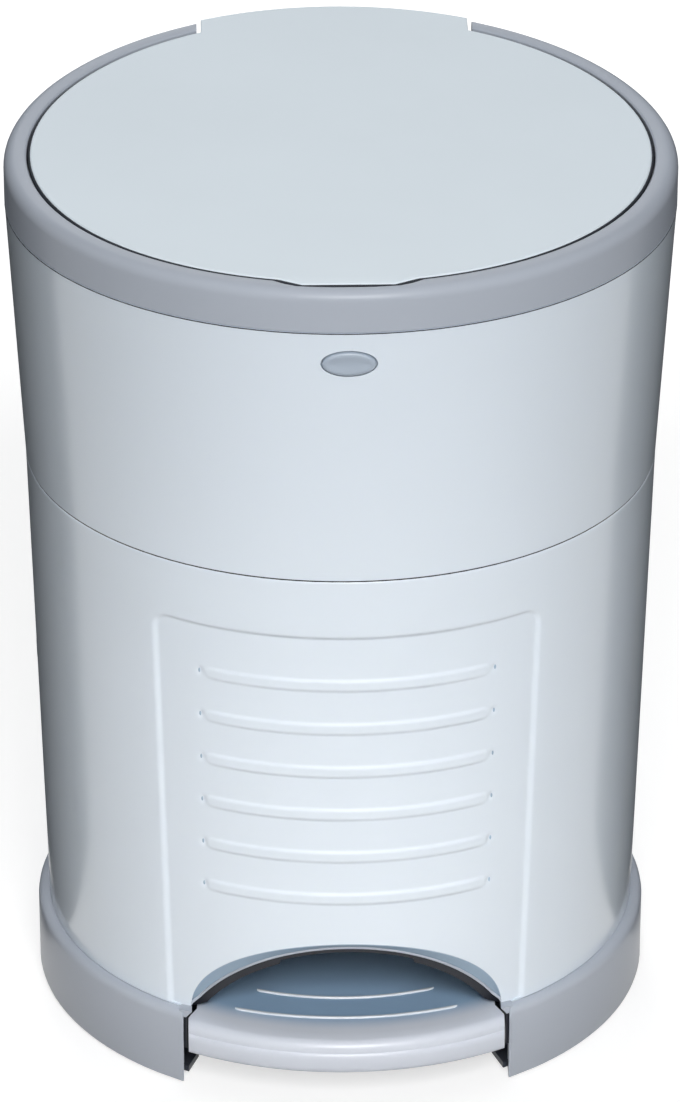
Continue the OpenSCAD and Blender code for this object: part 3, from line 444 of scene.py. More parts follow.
@dataclass
class Studio:
    """Camera, lamps, floor and surroundings."""

    target: Point = (-0.00024, 0.0, 0.21879)
    eye: Point = (-0.06022, -2.4724, 1.46799)
    lens: float = 189.78
    roll: float = 0.054
    lamps: Sequence[Lamp] = (
        Lamp("key", (0.16, -2.4, 2.05), (0.0, 0.0, 0.2), 1.2, 1.0, 64.0, mirrored=True),
        Lamp("top", (0.0, 0.3, 3.2), (0.0, 0.1, 0.0), 2.6, 2.6, 14.0),
        Lamp("rear", (-0.3, 2.9, 1.6), (0.0, 0.0, 0.2), 1.1, 1.0, 46.0),
        Lamp("low", (0.0, -1.5, 0.42), (0.0, -0.15, 0.05), 0.5, 0.3, 0.33, spread=34.0,
             colour=(1.0, 0.94, 0.88)),
    )
    ambient: float = 0.07
    mirrored_white: float = 0.8
    floor_half: float = 6.0
    floor_white: float = 1.32
    floor_share: float = 0.48
    floor_fade: tuple[float, float] = (0.6, 1.4)
    flag_x: float = 0.28
    flag_far: float = 1.4
    flag_high: float = 1.0
    flag_low: float = 0.002
    flag_inner: tuple[float, float] = (0.17, 0.05)

    SENSOR_WIDTH = 36.0
    CLIP_END = 50.0
    SKY_TINT = (0.86, 0.93, 1.0, 1.0)
    WHITE = (1.0, 1.0, 1.0, 1.0)
    FLAG_BLACK = (0.02, 0.022, 0.026, 1.0)
    FLOOR_UNSEEN = (0.3, 0.3, 0.3, 1.0)
    FLOOR_SEEN = (0.95, 0.95, 0.95, 1.0)
    FLAG_ROUGHNESS = 0.9
    FLOOR_ROUGHNESS = 0.7
    FLOOR_SPECULAR = 0.1

    def build(self) -> None:
        """Builds everything around the bin."""
        self._camera()
        for lamp in self.lamps:
            lamp.build()
        self._world()
        self._floor()
        self._flags()
        LOG.info("studio: camera, %d lamps, floor", len(self.lamps))

    def _camera(self) -> None:
        """Sets the scene's camera."""
        data = bpy.data.cameras.new("camera")
        data.lens = self.lens
        data.sensor_width = self.SENSOR_WIDTH
        data.clip_end = self.CLIP_END
        camera = add_object("camera", data)
        aim_at(camera, self.eye, self.target, self.roll)
        bpy.context.scene.camera = camera

    def _flags(self) -> None:
        """Adds dark cards beside the bin that its gloss alone shows, to shade its sides."""
        material = bpy.data.materials.new("flag_black")
        material.use_nodes = True
        tree = material.node_tree
        set_inputs(tree, tree.nodes["Principled BSDF"],
                   {"Base Color": self.FLAG_BLACK, "Roughness": self.FLAG_ROUGHNESS})
        low, far, high = self.flag_low, self.flag_far, self.flag_high
        for side, name in ((-1, "flag_left"), (1, "flag_right")):
            x, near_x, far_x = (side * v for v in (self.flag_x, *self.flag_inner))
            mesh = bpy.data.meshes.new(name)
            mesh.from_pydata([(x, 0.0, low), (x, far, low), (x, far, high), (x, 0.0, high),
                              (near_x, 0.0, low), (far_x, far, low)],
                             [], [(0, 1, 2, 3), (4, 0, 1, 5)])
            mesh.materials.append(material)
            flag = add_object(name, mesh)
            flag.visible_camera = flag.visible_diffuse = flag.visible_shadow = False
            flag.visible_transmission = flag.visible_volume_scatter = False

    @staticmethod
    def _seen(tree: bpy.types.NodeTree) -> tuple[bpy.types.NodeSocket, bpy.types.NodeSocket]:
        """Tells which rays meet a surface or the world.

        Args:
            tree: The node tree of the material or the world.

        Returns:
            A value that is 1 for camera, glossy and transmission rays, and one that
            is 1 for camera rays alone.
        """
        rays = tree.nodes.new("ShaderNodeLightPath").outputs
        seen = rays["Is Camera Ray"]
        for kind in ("Is Glossy Ray", "Is Transmission Ray"):
            seen = add_node(tree, "ShaderNodeMath", {0: seen, 1: rays[kind]},
                            operation="MAXIMUM").outputs["Value"]
        return seen, rays["Is Camera Ray"]

    def _world(self) -> None:
        """Adds soft light all round, and plain white where it is seen."""
        world = bpy.data.worlds.new("studio")
        bpy.context.scene.world = world
        world.use_nodes = True
        tree = world.node_tree
        seen, camera = self._seen(tree)
        soft = tree.nodes["Background"]
        set_inputs(tree, soft, {"Color": self.SKY_TINT, "Strength": self.ambient})
        lift = add_node(tree, "ShaderNodeMath", {
            0: camera, 1: 1.0 - self.mirrored_white, 2: self.mirrored_white},
                        operation="MULTIPLY_ADD")
        white = add_node(tree, "ShaderNodeBackground",
                         {"Color": self.WHITE, "Strength": lift.outputs["Value"]})
        mix = add_node(tree, "ShaderNodeMixShader", {
            "Fac": seen, 1: soft.outputs["Background"], 2: white.outputs["Background"]})
        set_inputs(tree, tree.nodes["World Output"], {"Surface": mix.outputs["Shader"]})

    def _floor(self) -> None:
        """Adds a floor that keeps the bin's shadow and is white further away."""
        half = self.floor_half
        mesh = bpy.data.meshes.new("floor")
        mesh.from_pydata([(-half, -half, 0), (half, -half, 0), (half, half, 0), (-half, half, 0)],
                         [], [(0, 1, 2, 3)])
        floor = add_object("floor", mesh)
        material = bpy.data.materials.new("floor_white")
        material.use_nodes = True
        mesh.materials.append(material)
        tree = material.node_tree
        seen, camera = self._seen(tree)
        tone = add_node(tree, "ShaderNodeMix", {
            "Factor": seen, "A": self.FLOOR_UNSEEN, "B": self.FLOOR_SEEN}, data_type="RGBA")
        shader = tree.nodes["Principled BSDF"]
        set_inputs(tree, shader, {
            "Base Color": tone.outputs["Result"], "Roughness": self.FLOOR_ROUGHNESS,
            "Specular IOR Level": self.FLOOR_SPECULAR})
        place = tree.nodes.new("ShaderNodeNewGeometry").outputs["Position"]
        away = add_node(tree, "ShaderNodeVectorMath", {0: place}, operation="LENGTH")
        far = add_node(tree, "ShaderNodeMapRange", {
            "Value": away.outputs["Value"], "From Min": self.floor_fade[0],
            "From Max": self.floor_fade[1], "To Min": 0.0, "To Max": 1.0 - self.floor_share})
        glowing = add_node(tree, "ShaderNodeMath", {
            0: far.outputs["Result"], 1: camera, 2: self.floor_share},
                           operation="MULTIPLY_ADD")
        share = add_node(tree, "ShaderNodeMath", {0: seen, 1: glowing.outputs["Value"]},
                         operation="MULTIPLY")
        glow = add_node(tree, "ShaderNodeEmission", {"Strength": self.floor_white})
        mix = add_node(tree, "ShaderNodeMixShader", {
            "Fac": share.outputs["Value"], 1: shader.outputs["BSDF"],
            2: glow.outputs["Emission"]})
        set_inputs(tree, tree.nodes["Material Output"], {"Surface": mix.outputs["Shader"]})


# ------------------------------------------------------------- mesh building


@dataclass
class Moulding:
    """Points and faces of one piece, in millimetres, while it is being built.

    `BAND_STEP` is the greatest angle between two sections of a band, and `CREASE` the
    angle above which an edge stays sharp, in degrees. Points within `WELD` metres of
    each other become one.
    """

    name: str
    points: list[Point] = field(default_factory=list)
    faces: list[tuple[int, ...]] = field(default_factory=list)

    BAND_STEP = 3.0
    CREASE = 34.0
    WELD = 0.000005

    def row(self, points: Iterable[Point]) -> list[int]:
        """Adds a row of points.

        Args:
            points: The points, in order.

        Returns:
            Their numbers.
        """
        start = len(self.points)
        self.points.extend(points)
        return list(range(start, len(self.points)))

    def join(self, a: Sequence[int], b: Sequence[int], wrap: bool) -> None:
        """Adds the faces between two rows that have the same number of points.

        Args:
            a: Numbers of the first row's points.
            b: Numbers of the second row's points.
            wrap: Whether the last point of a row is followed by its first.
        """
        count = len(a)
        for i in range(count if wrap else count - 1):
            j = (i + 1) % count
            self.faces.append((a[i], a[j], b[j], b[i]))

    def loft(self, rows: Sequence[Sequence[Point]], wrap: bool = True, closed: bool = False,
             caps: bool = False) -> list[list[int]]:
        """Adds a surface through rows of points.

        Args:
            rows: The rows, each with the same number of points.
            wrap: Whether every row is a ring.
            closed: Whether the last row is joined to the first.
            caps: Whether the first and last ring are closed by a face.

        Returns:
            The numbers of the points, row by row.
        """
        numbers = [self.row(points) for points in rows]
        for a, b in zip(numbers, numbers[1:]):
            self.join(a, b, wrap)
        if closed:
            self.join(numbers[-1], numbers[0], wrap)
        if caps:
            self.faces.append(tuple(numbers[0]))
            self.faces.append(tuple(numbers[-1]))
        return numbers

    def band(self, profile: Sequence[tuple[float, float]], start: float, stop: float) -> None:
        """Adds a profile turned about the bin's axis, closed at both ends.

        Args:
            profile: Radius and height of each corner, as a closed outline.
            start: First angle in degrees from the front, towards +X.
            stop: Last angle; 360 more than the first makes a whole ring.
        """
        whole = abs(stop - start) >= 360.0
        count = max(2, math.ceil((stop - start) / self.BAND_STEP))
        angles = [start + (stop - start) * i / count for i in range(count if whole else count + 1)]
        rows = [[polar(r, angle, z) for r, z in profile] for angle in angles]
        self.loft(rows, closed=whole, caps=not whole)

    def prism(self, outline: Sequence[Point], shift: Point) -> None:
        """Adds an outline carried straight along a shift, closed at both ends."""
        far = [(x + shift[0], y + shift[1], z + shift[2]) for x, y, z in outline]
        self.loft([outline, far], caps=True)

    def make(self, material: bpy.types.Material, slot: str, body: str,
             *nodes: str) -> bpy.types.Object:
        """Makes the object, in metres, and places it in the bin.

        Args:
            material: Its finish.
            slot: Material slot of the record that the finish stands for. It is not used.
            body: Body that it moves with.
            nodes: Solids that it stands for, if any.

        Returns:
            The new object.
        """
        mesh = bpy.data.meshes.new(self.name)
        mesh.from_pydata([(x * MM, y * MM, z * MM) for x, y, z in self.points], [], self.faces)
        shape = bmesh.new()
        shape.from_mesh(mesh)
        bmesh.ops.remove_doubles(shape, verts=shape.verts, dist=self.WELD)
        bmesh.ops.recalc_face_normals(shape, faces=shape.faces)
        for face in shape.faces:
            face.smooth = True
        for edge in shape.edges:
            edge.smooth = edge.calc_face_angle(0.0) < math.radians(self.CREASE)
        shape.to_mesh(mesh)
        shape.free()
        mesh.materials.append(material)
        piece = add_object(self.name, mesh)
        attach(piece, body)
        if nodes:
            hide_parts(*nodes)
        LOG.info("piece %s on %s: %d faces", self.name, body, len(mesh.polygons))
        return piece


# --------------------------------------------------------------- base section


@dataclass(frozen=True)
class Column:
    """One column of points up the lower shell's wall.

    It stands at an x on the foot, or at an angle from the front where `turn` isn't
    zero. `side` is 1 on the +X side and -1 on the other.
    """

    x: float
    turn: float
    side: int


@dataclass
class LowerShell:
    """Lower part of the body, with its ribbed front panel, foot arch and side grips.

    Here and below, lengths are in millimetres and angles in degrees.
    """

    palette: Palette
    foot_r: float = 142.2
    seam_r: float = 148.5
    ring_h: float = RING_TOP
    seam_z: float = 278.0
    wall: float = 2.8
    plain_z: float = 92.0
    seam_turn: float = 170.0

    panel_turn: float = 60.0
    panel_half: float = 83.2
    panel_flare: float = 4.8
    panel_top: float = 248.5
    panel_corner: float = 7.0
    panel_depth: float = 1.4
    border_soft: float = 2.6

    rib_count: int = 6
    rib_low: float = 110.0
    rib_pitch: float = 22.7
    rib_half: float = 62.7
    rib_proud: float = 0.85
    rib_soft: float = 3.6
    rib_reach: float = 6.0
    rib_margin: float = 4.0
    rib_past: float = 3.0
    rib_fade: float = 9.0
    rib_end_level: float = 0.35
    dimple_past: float = 4.0
    dimple_drift: float = 0.24
    dimple_half: tuple[float, float] = (1.3, 2.0)
    dimple_up: float = 0.2
    dimple_depth: float = 0.7
    # Size and depth of the ovals of painted shade in the rib-end dimples.
    shade_mark_half: tuple[float, float] = (0.75, 1.55)
    shade_mark_sunk: float = 0.68

    arch_half: float = 74.0
    arch_rise: float = 46.4
    bevel_depth: float = 5.2
    bevel_r: float = 84.098
    face_half: float = 73.4
    face_start: float = 0.06
    face_sunk: float = 0.5
    face_proud: tuple[float, float] = (0.28, 0.4)
    face_lean: float = 0.35

    grip_turn: float = 118.0
    grip_half_arc: float = 22.0
    grip_z: float = 155.0
    grip_half: float = 17.0
    grip_proud: float = 4.3
    grip_edge: float = 0.42

    dip_turns: tuple[float, float] = (170.4, 176.15)
    dip_from: float = 262.0
    dip_depth: float = 5.0

    overlap: float = 0.4
    bucket_z: float = 50.0
    bucket_thick: float = 2.5
    rod_half: float = 4.2
    rod_y: float = 128.0
    niche_half: float = 71.5
    niche_corner: tuple[float, float] = (66.2, -56.2)
    ledge_z: float = 238.0
    ledge_thick: float = 3.0
    ledge_wide: float = 4.0
    ledge_turn: float = 176.5
    plinth_low: float = 6.0
    plinth_turn: float = 33.5
    plinth_in: tuple[float, float, float] = (0.6, 2.4, 2.8)
    strike_half: float = 12.0
    strike_y: tuple[float, float] = (-147.0, -141.3)
    strike_z: tuple[float, float] = (269.0, 273.0)
    knuckle_out: float = 0.8
    knuckle_r: float = 4.5
    knuckle_x: float = 24.7
    knuckle_wide: float = 15.3

    def build(self) -> None:
        """Builds the shell with the parts inside it, and the three fine pieces of painted shade on
        it: the arch's slope, the ribs' dimples and the seam's gap.
        """
        part = Moulding("lower_body_shell")
        self._walls(part)
        self._inside(part)
        part.make(self.palette.material("body_plastic"), "body_plastic", "base", "lower_shell")
        # The slope behind the arch is white plastic in painted shade.
        bevel = Moulding("arch_bevel_face")
        self._bevel(bevel)
        bevel.make(self.palette.material("bevel"), "body_plastic", "base")
        # Ovals of painted shade in the dimples at the ribs' ends.
        slots = Moulding("rib_end_painted_shade_marks")
        self._painted_dimple_shade(slots)
        slots.make(self.palette.material("bevel"), "body_plastic", "base")
        # Dark band inside the seam between the two sections: painted shade in the gap.
        seam = Moulding("seam_painted_shade_line")
        line = ((-1.6, -0.5), (-0.32, -0.3), (-0.2, 0.1), (-0.3, 0.55), (-1.6, 0.6))
        seam.band([(self.seam_r + out, self.seam_z + up) for out, up in line],
                  -self.seam_turn, self.seam_turn)
        seam.make(self.palette.material("gasket_rubber"), "gasket_rubber", "base")

    def wall_r(self, z: float) -> float:
        """Radius of the plain outer wall at a height."""
        share = (z - self.ring_h) / (self.seam_z - self.ring_h)
        return self.foot_r + (self.seam_r - self.foot_r) * share

    def border(self, z: float) -> float:
        """Half width of the front panel at a height."""
        straight = self.panel_top - self.panel_corner - self.ring_h
        return self.panel_half + self.panel_flare * min(1.0, (z - self.ring_h) / straight)

    def rib_z(self, k: int) -> float:
        """Height of the middle of a rib."""
        return self.rib_low + k * self.rib_pitch

    def rib_end(self, k: int) -> float:
        """Distance from the middle of the dimple at the end of a rib."""
        return self.rib_half + self.dimple_past + self.dimple_drift * k

    def _relief(self, x: float, z: float, angle: float) -> float:
        """Finds how far the surface stands out from the plain wall.

        Args:
            x: Place across the front.
            z: Height.
            angle: Degrees from the front.

        Returns:
            The height above the wall, below zero in the panel.
        """
        if angle > self.panel_turn:
            return self._grip(angle, z)
        side, top, corner = self.border(z) - abs(x), self.panel_top - z, self.panel_corner
        depth = min(side, top)
        if side < corner and top < corner:
            depth = corner - math.hypot(corner - side, corner - top)
        level = -self.panel_depth * ease(depth / self.border_soft + 0.5)
        if depth < self.rib_margin:
            return level
        for k in range(self.rib_count):
            up = z - self.rib_z(k)
            if abs(up) > self.rib_reach:
                continue
            off = math.hypot(max(0.0, abs(x) - self.rib_half), up) / self.rib_soft
            if off < 1.0:
                fade = ease((self.rib_half + self.rib_past - abs(x)) / self.rib_fade)
                share = self.rib_end_level + (1.0 - self.rib_end_level) * fade
                level += self.rib_proud * ease((1.0 - off) / 0.5) * share
            wide = (abs(x) - self.rib_end(k)) / self.dimple_half[0]
            high = (up - self.dimple_up) / self.dimple_half[1]
            level -= self.dimple_depth * math.exp(-wide * wide - high * high)
        return level

    def _grip(self, angle: float, z: float) -> float:
        """Finds the height of a side grip's pillow above the wall.

        Args:
            angle: Degrees from the front.
            z: Height.

        Returns:
            The height, or zero beside the grip.
        """
        u = (angle - self.grip_turn) / self.grip_half_arc
        v = (z - self.grip_z) / self.grip_half
        far = (abs(u) ** 8 + abs(v) ** 4) ** 0.25
        return self.grip_proud * ease((1.0 - far) / self.grip_edge) if far < 1.0 else 0.0

    def _bevel(self, part: Moulding) -> None:
        """Adds the face that lines the slope behind the arch's edge, in a blue-grey painted shade.

        It is a thin strip whose back lies inside the shell.

        Args:
            part: The moulding to add to.
        """
        (near_proud, far_proud), sunk, steps = self.face_proud, -self.face_sunk, 80
        rows = []
        for i in range(steps + 1):
            x = self.face_half * math.sin(math.radians(-90.0 + 180.0 * i / steps))
            column = Column(abs(x), 0.0, 1 if x >= 0.0 else -1)
            near, far = self._outer(column, self._arch_z(abs(x))), self._lip(column)
            near = tuple(n + (f - n) * self.face_start for n, f in zip(near, far))
            down = math.hypot(near[0], near[2] - ARCH_Z)
            shift = (-near[0] / down, -self.face_lean, -(near[2] - ARCH_Z) / down)
            rows.append([tuple(c + d * s for c, s in zip(point, shift)) for point, d in (
                (near, sunk), (near, near_proud), (far, far_proud), (far, sunk))])
        part.loft(rows, caps=True)

    def _painted_dimple_shade(self, part: Moulding) -> None:
        """Adds an oval of blue-grey painted shade in the dimple at each end of each rib.

        Args:
            part: The moulding to add to.
        """
        for k in range(self.rib_count):
            for side in (-1, 1):
                rows = []
                for deep, size in ((1.0, 1.0), (-0.2, 1.0), (-0.3, 0.8)):
                    outline = oval(self.rib_end(k), self.rib_z(k) + self.dimple_up,
                                   self.shade_mark_half[0] * size, self.shade_mark_half[1] * size,
                                   range(0, 360, 20))
                    sunk = self.panel_depth + self.shade_mark_sunk + deep
                    rows.append([(side * x, front_y(self.wall_r(z) - sunk, x), z)
                                 for x, z in outline])
                part.loft(rows, caps=True)

    def _columns(self) -> list[Column]:
        """Places the columns of the wall on the +X side, closest where the surface bends.

        Returns:
            The columns, from the front to the back.
        """
        arch = [self.arch_half * math.sin(math.radians(t)) for t in range(0, 91, 3)]
        ends = [61.0 + 0.55 * i for i in range(11)]
        edge = [75.0, 76.2, 77.9] + [79.0 + 0.55 * i for i in range(15)] + [88.4]
        near = sorted(set(round(x, 3) for x in arch + ends + edge))
        turns = [*range(42, 91, 3), *range(93, 101), *range(103, 134, 3), *range(135, 143),
                 *range(145, 169, 3), 170.35, 170.45, 172.5, 175.0, 176.1, 176.2, 178.0, 180.0]
        return [Column(x, 0.0, 1) for x in near] + [Column(0.0, float(t), 1) for t in turns]

    def _heights(self) -> list[float]:
        """Places the rows above the arch, closest where the surface bends.

        Returns:
            Their heights, from low to high.
        """
        offs = [0.0, 0.55, 1.1, 1.7, 2.3, 2.9, 3.5, 4.1, 4.8]
        rows = {self.plain_z, 97.0, 101.5}
        for k in range(self.rib_count):
            centre = self.rib_z(k)
            rows.update(round(centre + side * off, 2) for off in offs for side in (-1, 1))
            rows.update(centre + gap for gap in (8.0, 11.35, 14.7) if centre + gap < 240.0)
        rows.update(236.0 + 2.0 * i for i in range(3))
        rows.update(round(241.0 + 0.6 * i, 2) for i in range(16))
        rows.update((252.0, 256.0, 262.0, 268.0, 273.0, 276.0))
        return sorted(rows)

    def _walls(self, part: Moulding) -> None:
        """Adds the wall, from its outer face round both edges to its inner face.

        Args:
            part: The moulding to add to.
        """
        half = self._columns()
        columns = [Column(c.x, c.turn, -1) for c in reversed(half[1:-1])] + half
        low = [self.ring_h if c.turn else self._arch_z(c.x) for c in columns]
        rows: list[list[Point]] = []
        for f in (0.0, 0.02, 0.06, 0.12, 0.19, 0.27, 0.36, 0.46, 0.57, 0.69, 0.84):
            rows.append([self._outer(c, z + (self.plain_z - z) * f) for c, z in zip(columns, low)])
        for z in self._heights():
            rows.append([self._outer(c, z) for c in columns])
        for z, sunk in ((277.1, 0.0), (277.55, 0.14), (277.85, 0.4), (self.seam_z, 0.85)):
            rows.append([self._outer(c, z, sunk) for c in columns])
        for z in (self.seam_z, 276.0, 250.0, 200.0, 150.0, self.plain_z):
            rows.append([self._inner(c, z) for c in columns])
        rows.append([self._inner(c, z + 4.0) for c, z in zip(columns, low)])
        rows.append([self._lip(c) for c in columns])
        part.loft(rows, closed=True)

    def _arch_z(self, x: float) -> float:
        """Finds where the arch cuts a column.

        Args:
            x: Where the column stands on the foot.

        Returns:
            The height of the arch there.
        """
        z = self.ring_h
        for _ in range(5):
            share = min(1.0, x * self.border(z) / self.panel_half / self.arch_half)
            z = self.ring_h + self.arch_rise * math.sqrt(1.0 - share * share)
        return z

    def _place(self, column: Column, z: float) -> tuple[float, float]:
        """Finds where a column stands at a height.

        Args:
            column: The column.
            z: The height.

        Returns:
            Its angle in degrees from the front, and its x.
        """
        r = self.wall_r(z)
        if column.turn:
            return column.side * column.turn, r * math.sin(math.radians(column.turn))
        across = column.x * self.border(z) / self.panel_half
        return column.side * math.degrees(math.asin(across / r)), across

    def _sunk_top(self, turn: float, z: float) -> float:
        """Lowers the rows where the upper section's knuckles dip into the edge.

        Args:
            turn: The column's angle in degrees from the front.
            z: Height of the row elsewhere.

        Returns:
            Its height on this column.
        """
        first, last = self.dip_turns
        if not last > turn > first or z < self.dip_from:
            return z
        rise = self.seam_z - self.dip_from
        return self.dip_from + (z - self.dip_from) * (rise - self.dip_depth) / rise

    def _outer(self, column: Column, z: float, sunk: float = 0.0) -> Point:
        """Places a point of the outer face.

        Args:
            column: The column.
            z: Height of the row.
            sunk: How far the point lies below the face.

        Returns:
            The point.
        """
        angle, x = self._place(column, z)
        r = self.wall_r(z) + self._relief(x, z, abs(angle)) - sunk
        return polar(r, angle, self._sunk_top(column.turn, z))

    def _inner(self, column: Column, z: float) -> Point:
        """Point of the inner face, on a column at a row's height."""
        angle, _ = self._place(column, z)
        return polar(self.wall_r(z) - self.wall, angle, self._sunk_top(column.turn, z))

    def _lip(self, column: Column) -> Point:
        """Places a point of the edge behind the slope, or of the foot beside the arch.

        Args:
            column: The column.

        Returns:
            The point.
        """
        if column.turn or column.x > self.arch_half:
            angle, _ = self._place(column, self.ring_h)
            return polar(self.foot_r - self.wall, angle, self.ring_h)
        half = math.sqrt(self.bevel_r ** 2 - (self.ring_h - ARCH_Z) ** 2)
        across = column.x / self.arch_half * half
        z = ARCH_Z + math.sqrt(self.bevel_r ** 2 - across * across)
        y = front_y(self.wall_r(z) - self.bevel_depth, across)
        return column.side * across, y, z

    def _inside(self, part: Moulding) -> None:
        """Adds the bucket floor, the ledge, the plinth, the latch strike and the knuckles.

        Args:
            part: The moulding to add to.
        """
        self._bucket(part)
        z, r = self.ledge_z, self.wall_r(self.ledge_z) - self.wall
        low, near, far = z - self.ledge_thick, r - self.ledge_wide, r + self.overlap
        part.band([(near, low), (far, low), (far, z), (near, z)],
                  -self.ledge_turn, self.ledge_turn)
        low, high = self.plinth_low, self.ring_h + self.overlap
        face, back, foot = (self.foot_r - inset for inset in self.plinth_in)
        part.band([(face, low), (face, high), (back, high), (foot, low)],
                  self.plinth_turn, 360.0 - self.plinth_turn)
        (front, rear), (low, high) = self.strike_y, self.strike_z
        part.prism([(-self.strike_half, y, z) for y, z in
                    ((front, low), (rear, low), (rear, high), (front, high))],
                   (2.0 * self.strike_half, 0.0, 0.0))
        y, z = self.seam_r + self.knuckle_out, self.seam_z
        outline = oval(y, z, self.knuckle_r, self.knuckle_r, range(0, 181, 15))
        outline += [(y - self.knuckle_r, z - 14.0), (y - 1.0, z - 14.0), (y + 3.1, z - 3.4)]
        for side in (-1, 1):
            part.prism([(side * self.knuckle_x, y, z) for y, z in outline],
                       (side * self.knuckle_wide, 0.0, 0.0))

    def _bucket(self, part: Moulding) -> None:
        """Adds the bucket floor, cut away for the foot niche and the push rod.

        Args:
            part: The moulding to add to.
        """
        z = self.bucket_z
        inner = self.wall_r(z) - self.wall + self.overlap
        notch, rod = (math.degrees(math.asin(x / inner)) for x in (self.niche_half, self.rod_half))
        rim = [notch + (180.0 - rod - notch) * i / 40 for i in range(41)]
        edge = [polar(inner, a, z) for a in rim]
        edge += [(side * self.rod_half, self.rod_y, z) for side in (1, -1)]
        edge += [polar(inner, -a, z) for a in reversed(rim)]
        edge += [(side * self.niche_corner[0], self.niche_corner[1], z) for side in (-1, 1)]
        part.prism(edge, (0.0, 0.0, self.bucket_thick))


@dataclass
class BaseRing:
    """Grey ring round the foot of the body, and the thin arched trim over the pedal."""

    palette: Palette
    outer: float = 147.8
    inner: float = 141.8
    tuck: float = 134.0
    low: float = 1.0
    high: float = RING_TOP
    tuck_top: float = 3.0
    gap_half: float = 77.0
    end_bevel: float = 0.6
    end_turn: float = 6.0
    end_top: float = 5.0
    trim_r: float = 83.5
    trim_thick: float = 1.15
    trim_front: float = 137.0
    trim_deep: float = 3.0
    trim_soft: float = 0.3
    corner_in: float = 2.2
    corner_deep: float = 5.5

    def build(self) -> None:
        """Builds the ring and its trim as one moulding."""
        part = Moulding("base_ring_band")
        out, inner, low, top = self.outer, self.inner, self.low, self.high
        profile = [(self.tuck, low), (out - 1.2, low), (out - 0.3, low + 0.4), (out, low + 1.4),
                   (out, top - 4.0), (out - 0.25, top - 2.6), (out - 1.0, top - 1.4),
                   (out - 2.2, top - 0.7), (out - 3.6, top - 0.25), (inner + 1.2, top),
                   (inner + 0.2, top - 0.3), (inner, top - 1.2), (inner, self.tuck_top),
                   (self.tuck, self.tuck_top)]
        start = math.degrees(math.asin(self.gap_half / out)) + self.end_turn
        turns = [start + (360.0 - 2.0 * start) * i / 110 for i in range(111)]
        part.loft([self._end(profile, 1, self.end_bevel), self._end(profile, 1, 0.0),
                   *[[polar(r, turn, z) for r, z in profile] for turn in turns],
                   self._end(profile, -1, 0.0), self._end(profile, -1, self.end_bevel)],
                  caps=True)
        self._trim(part)
        self._corners(part)
        part.make(self.palette.material("grey_plastic"), "grey_plastic", "base", "base_ring")

    def _end(self, profile: Sequence[tuple[float, float]], side: int,
             inset: float) -> list[Point]:
        """Places a section that lies beside the gap, parallel to its side.

        Args:
            profile: Radius and height of each corner of the section.
            side: 1 for the end on the +X side, -1 for the other.
            inset: How far the section and its outer and upper corners are drawn in.

        Returns:
            The section's points.
        """
        x = self.gap_half + self.end_bevel - inset
        points = []
        for r, z in profile:
            r = r - inset if r > self.inner else r
            z = z - inset if z > self.high - self.end_top else z
            points.append((side * x, front_y(r, x), z))
        return points

    def _trim(self, part: Moulding) -> None:
        """Adds the thin bar behind the arch, whose feet come forward to the ring's ends.

        Args:
            part: The moulding to add to.
        """
        half, soft, deep = self.trim_thick / 2.0, self.trim_soft, self.trim_deep
        r = self.trim_r - half
        path = []
        for i in range(61):
            turn = math.radians(ARCH_START + ARCH_SWEEP * i / 60)
            c, s = math.cos(turn), math.sin(turn)
            path.append((r * c, ARCH_Z + r * s, c, s, self.trim_front))
        feet = [(72.7, 40.6, 0.8, 0.6, 138.8), (75.0, 38.2, 0.75, 0.66, 142.6),
                (77.4, 36.6, 0.6, 0.8, 146.6)]
        path = [*reversed(feet), *path, *[(-x, z, -c, s, wall) for x, z, c, s, wall in feet]]
        section = ((half, deep), (half, soft), (half - soft, 0.0), (soft - half, 0.0),
                   (-half, soft), (-half, deep))
        rows = []
        for x, z, c, s, wall in path:
            row = []
            for grow, back in section:
                px, pz = x + grow * c, z + grow * s
                row.append((px, front_y(wall - back + FLARE * (pz - RING_TOP), px), pz))
            rows.append(row)
        part.loft(rows, caps=True)

    def _corners(self, part: Moulding) -> None:
        """Adds the small corners that close the ring's ends under the trim's feet.

        Args:
            part: The moulding to add to.
        """
        corner = ((79.0, 38.6), (77.4, 39.3), (72.9, 39.9), (74.3, 38.0), (75.9, 35.6),
                  (77.0, 32.0), (79.0, 32.0))
        r = self.outer - self.corner_in
        for side in (-1, 1):
            part.prism([(side * x, front_y(r, x), z) for x, z in corner],
                       (0.0, self.corner_deep, 0.0))


